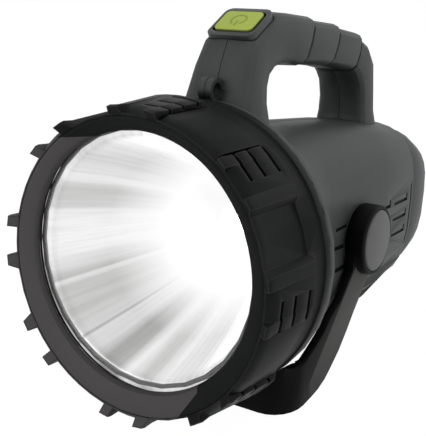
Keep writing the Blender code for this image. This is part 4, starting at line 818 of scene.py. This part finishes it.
pick_only()
bpy.ops.mesh.primitive_circle_add(vertices=72, radius=SIGN_RADIUS, location=(0, 0, 0))
sign = bpy.context.object
sign.name = "power_sign"
bpy.ops.object.mode_set(mode="EDIT")
bpy.ops.mesh.select_all(action="SELECT")
bpy.ops.mesh.extrude_edges_move()
bpy.ops.transform.resize(value=(1 - SIGN_LINE / SIGN_RADIUS,) * 3, center_override=(0, 0, 0))
bpy.ops.object.mode_set(mode="OBJECT")
for face in sign.data.polygons:
    face.select = abs(math.degrees(math.atan2(face.center.x, -face.center.y))) < GAP_DEG
bpy.ops.object.mode_set(mode="EDIT")
bpy.ops.mesh.select_mode(type="FACE")
bpy.ops.mesh.delete(type="FACE")
bpy.ops.mesh.primitive_plane_add(size=1, location=(0, 0, 0))
bpy.ops.transform.resize(value=(SIGN_LINE, BAR_LENGTH, 1), center_override=(0, 0, 0))
bpy.ops.transform.translate(value=(0, -BAR_OUT, 0))
bpy.ops.mesh.select_all(action="SELECT")
bpy.ops.mesh.extrude_region_move(TRANSFORM_OT_translate={"value": (0, 0, SIGN_RISE)})
bpy.ops.mesh.select_all(action="SELECT")
bpy.ops.mesh.normals_make_consistent(inside=False)
bpy.ops.object.mode_set(mode="OBJECT")
tilt = Matrix((Vector((1, 0, 0)), PAD_UP, PAD_OUT)).transposed()
sign.rotation_euler = tilt.to_euler()
sign.location = pad_middle - PAD_OUT * SIGN_SINK
bpy.ops.object.transform_apply(location=True, rotation=True, scale=True)
sign.data.materials.append(lime_mark)
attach(sign, "button")
print("power sign", len(sign.data.polygons), "faces")

# %% [markdown]
# ## The front ring
#
# The ring that holds the lens is one turned form, so it is made as the bowl is: a circle is
# extruded along the ring's profile, back to where it began. Its outer edge runs closer to the
# armour than the CAD ring's facets can, so that no dark line shows between the two. The opening
# lies a little above the ring's own middle, so the inner rows have a rise.

# %% The ring's profile
ring_profile = [  # radius, distance back and rise of the centre, in mm
    (67.15, 16.0, 0), (67.15, -2.7, 0), (66.9, -2.95, 0), (65.6, -2.95, 0.1), (60.4, -0.2, 1.5),
    (59.7, 0.2, 1.8), (59.0, 1.5, 1.8), (58.6, 2.2, 1.8), (58.6, 2.8, 1.8), (61.0, 2.8, 2.4),
    (61.0, 16.0, 2.4), (67.15, 16.0, 0),
]
bezel = turned_by_hand("front_ring", [[size * MM for size in row] for row in ring_profile], 144)
pick_only(bezel)
bpy.ops.object.mode_set(mode="EDIT")
bpy.ops.mesh.select_all(action="SELECT")
bpy.ops.mesh.remove_doubles(threshold=0.01 * MM)
bpy.ops.mesh.normals_make_consistent(inside=False)
bpy.ops.object.mode_set(mode="OBJECT")
bpy.ops.object.shade_smooth_by_angle(angle=math.radians(34))
onto_head(bezel, 0)
bezel.data.materials.append(bezel_abs)
hand_in(bezel, "front_bezel")
print("front ring", len(bezel.data.polygons), "faces")

# %% [markdown]
# ## The lens
#
# The front window is a plain disc of polycarbonate with a rounded edge. A circle is filled and
# extruded, and a bevel rounds its rims, so that the edge gathers light as a real one does.

# %% Lens
LENS_RADIUS, LENS_FRONT, LENS_THICK, LENS_EDGE = 60.2 * MM, 3.1 * MM, 3 * MM, 0.5 * MM

pick_only()
bpy.ops.mesh.primitive_circle_add(vertices=128, radius=LENS_RADIUS, fill_type="NGON",
                                  location=(0, LENS_FRONT, 0), rotation=(math.pi / 2, 0, 0))
lens = bpy.context.object
lens.name = "front_window"
bpy.ops.object.mode_set(mode="EDIT")
bpy.ops.mesh.select_all(action="SELECT")
bpy.ops.mesh.extrude_region_move(TRANSFORM_OT_translate={"value": (0, LENS_THICK, 0)})
bpy.ops.mesh.select_all(action="SELECT")
bpy.ops.mesh.normals_make_consistent(inside=False)
bpy.ops.object.mode_set(mode="OBJECT")
rounding = lens.modifiers.new("rounded_rim", "BEVEL")
rounding.width = LENS_EDGE
rounding.segments = 3
rounding.angle_limit = math.radians(40)
bpy.ops.object.modifier_apply(modifier=rounding.name)
bpy.ops.object.shade_smooth_by_angle(angle=math.radians(40))
bpy.ops.object.transform_apply(location=True, rotation=True, scale=True)
onto_head(lens, OPENING_RISE)
lens.data.materials.append(clear_pc)
hand_in(lens, "lens")
print("lens", len(lens.data.polygons), "faces")

# %% [markdown]
# ## Pieces that keep their CAD shape
#
# Screws, washers, boards and cells sit inside, where nothing but their colour shows. They stay as
# the CAD model has them and only get the finish of their real material.

# %% Finishes for the inner pieces
inner = {
    "lens_gasket": silicone, "led_emitter": phosphor, "led_board": board_white,
    "heat_sink": sink_aluminium, "battery_cradle": inner_abs, "control_board": board_green,
    "switch_board": board_green, "tact_switch": inner_abs, "charge_socket": inner_abs,
    "contact_strip_front": nickel, "contact_strip_rear": nickel,
    "friction_washer_left": natural_nylon, "friction_washer_right": natural_nylon,
}
for node, cad_piece in frame["nodes"].items():
    if not cad_piece.hide_render:
        finish = inner.get(node, sleeve if node.startswith("battery_cell") else zinc)
        cad_piece.data.materials.clear()
        cad_piece.data.materials.append(finish)
print(sum(not piece.hide_render for piece in frame["nodes"].values()), "CAD pieces stay in view")
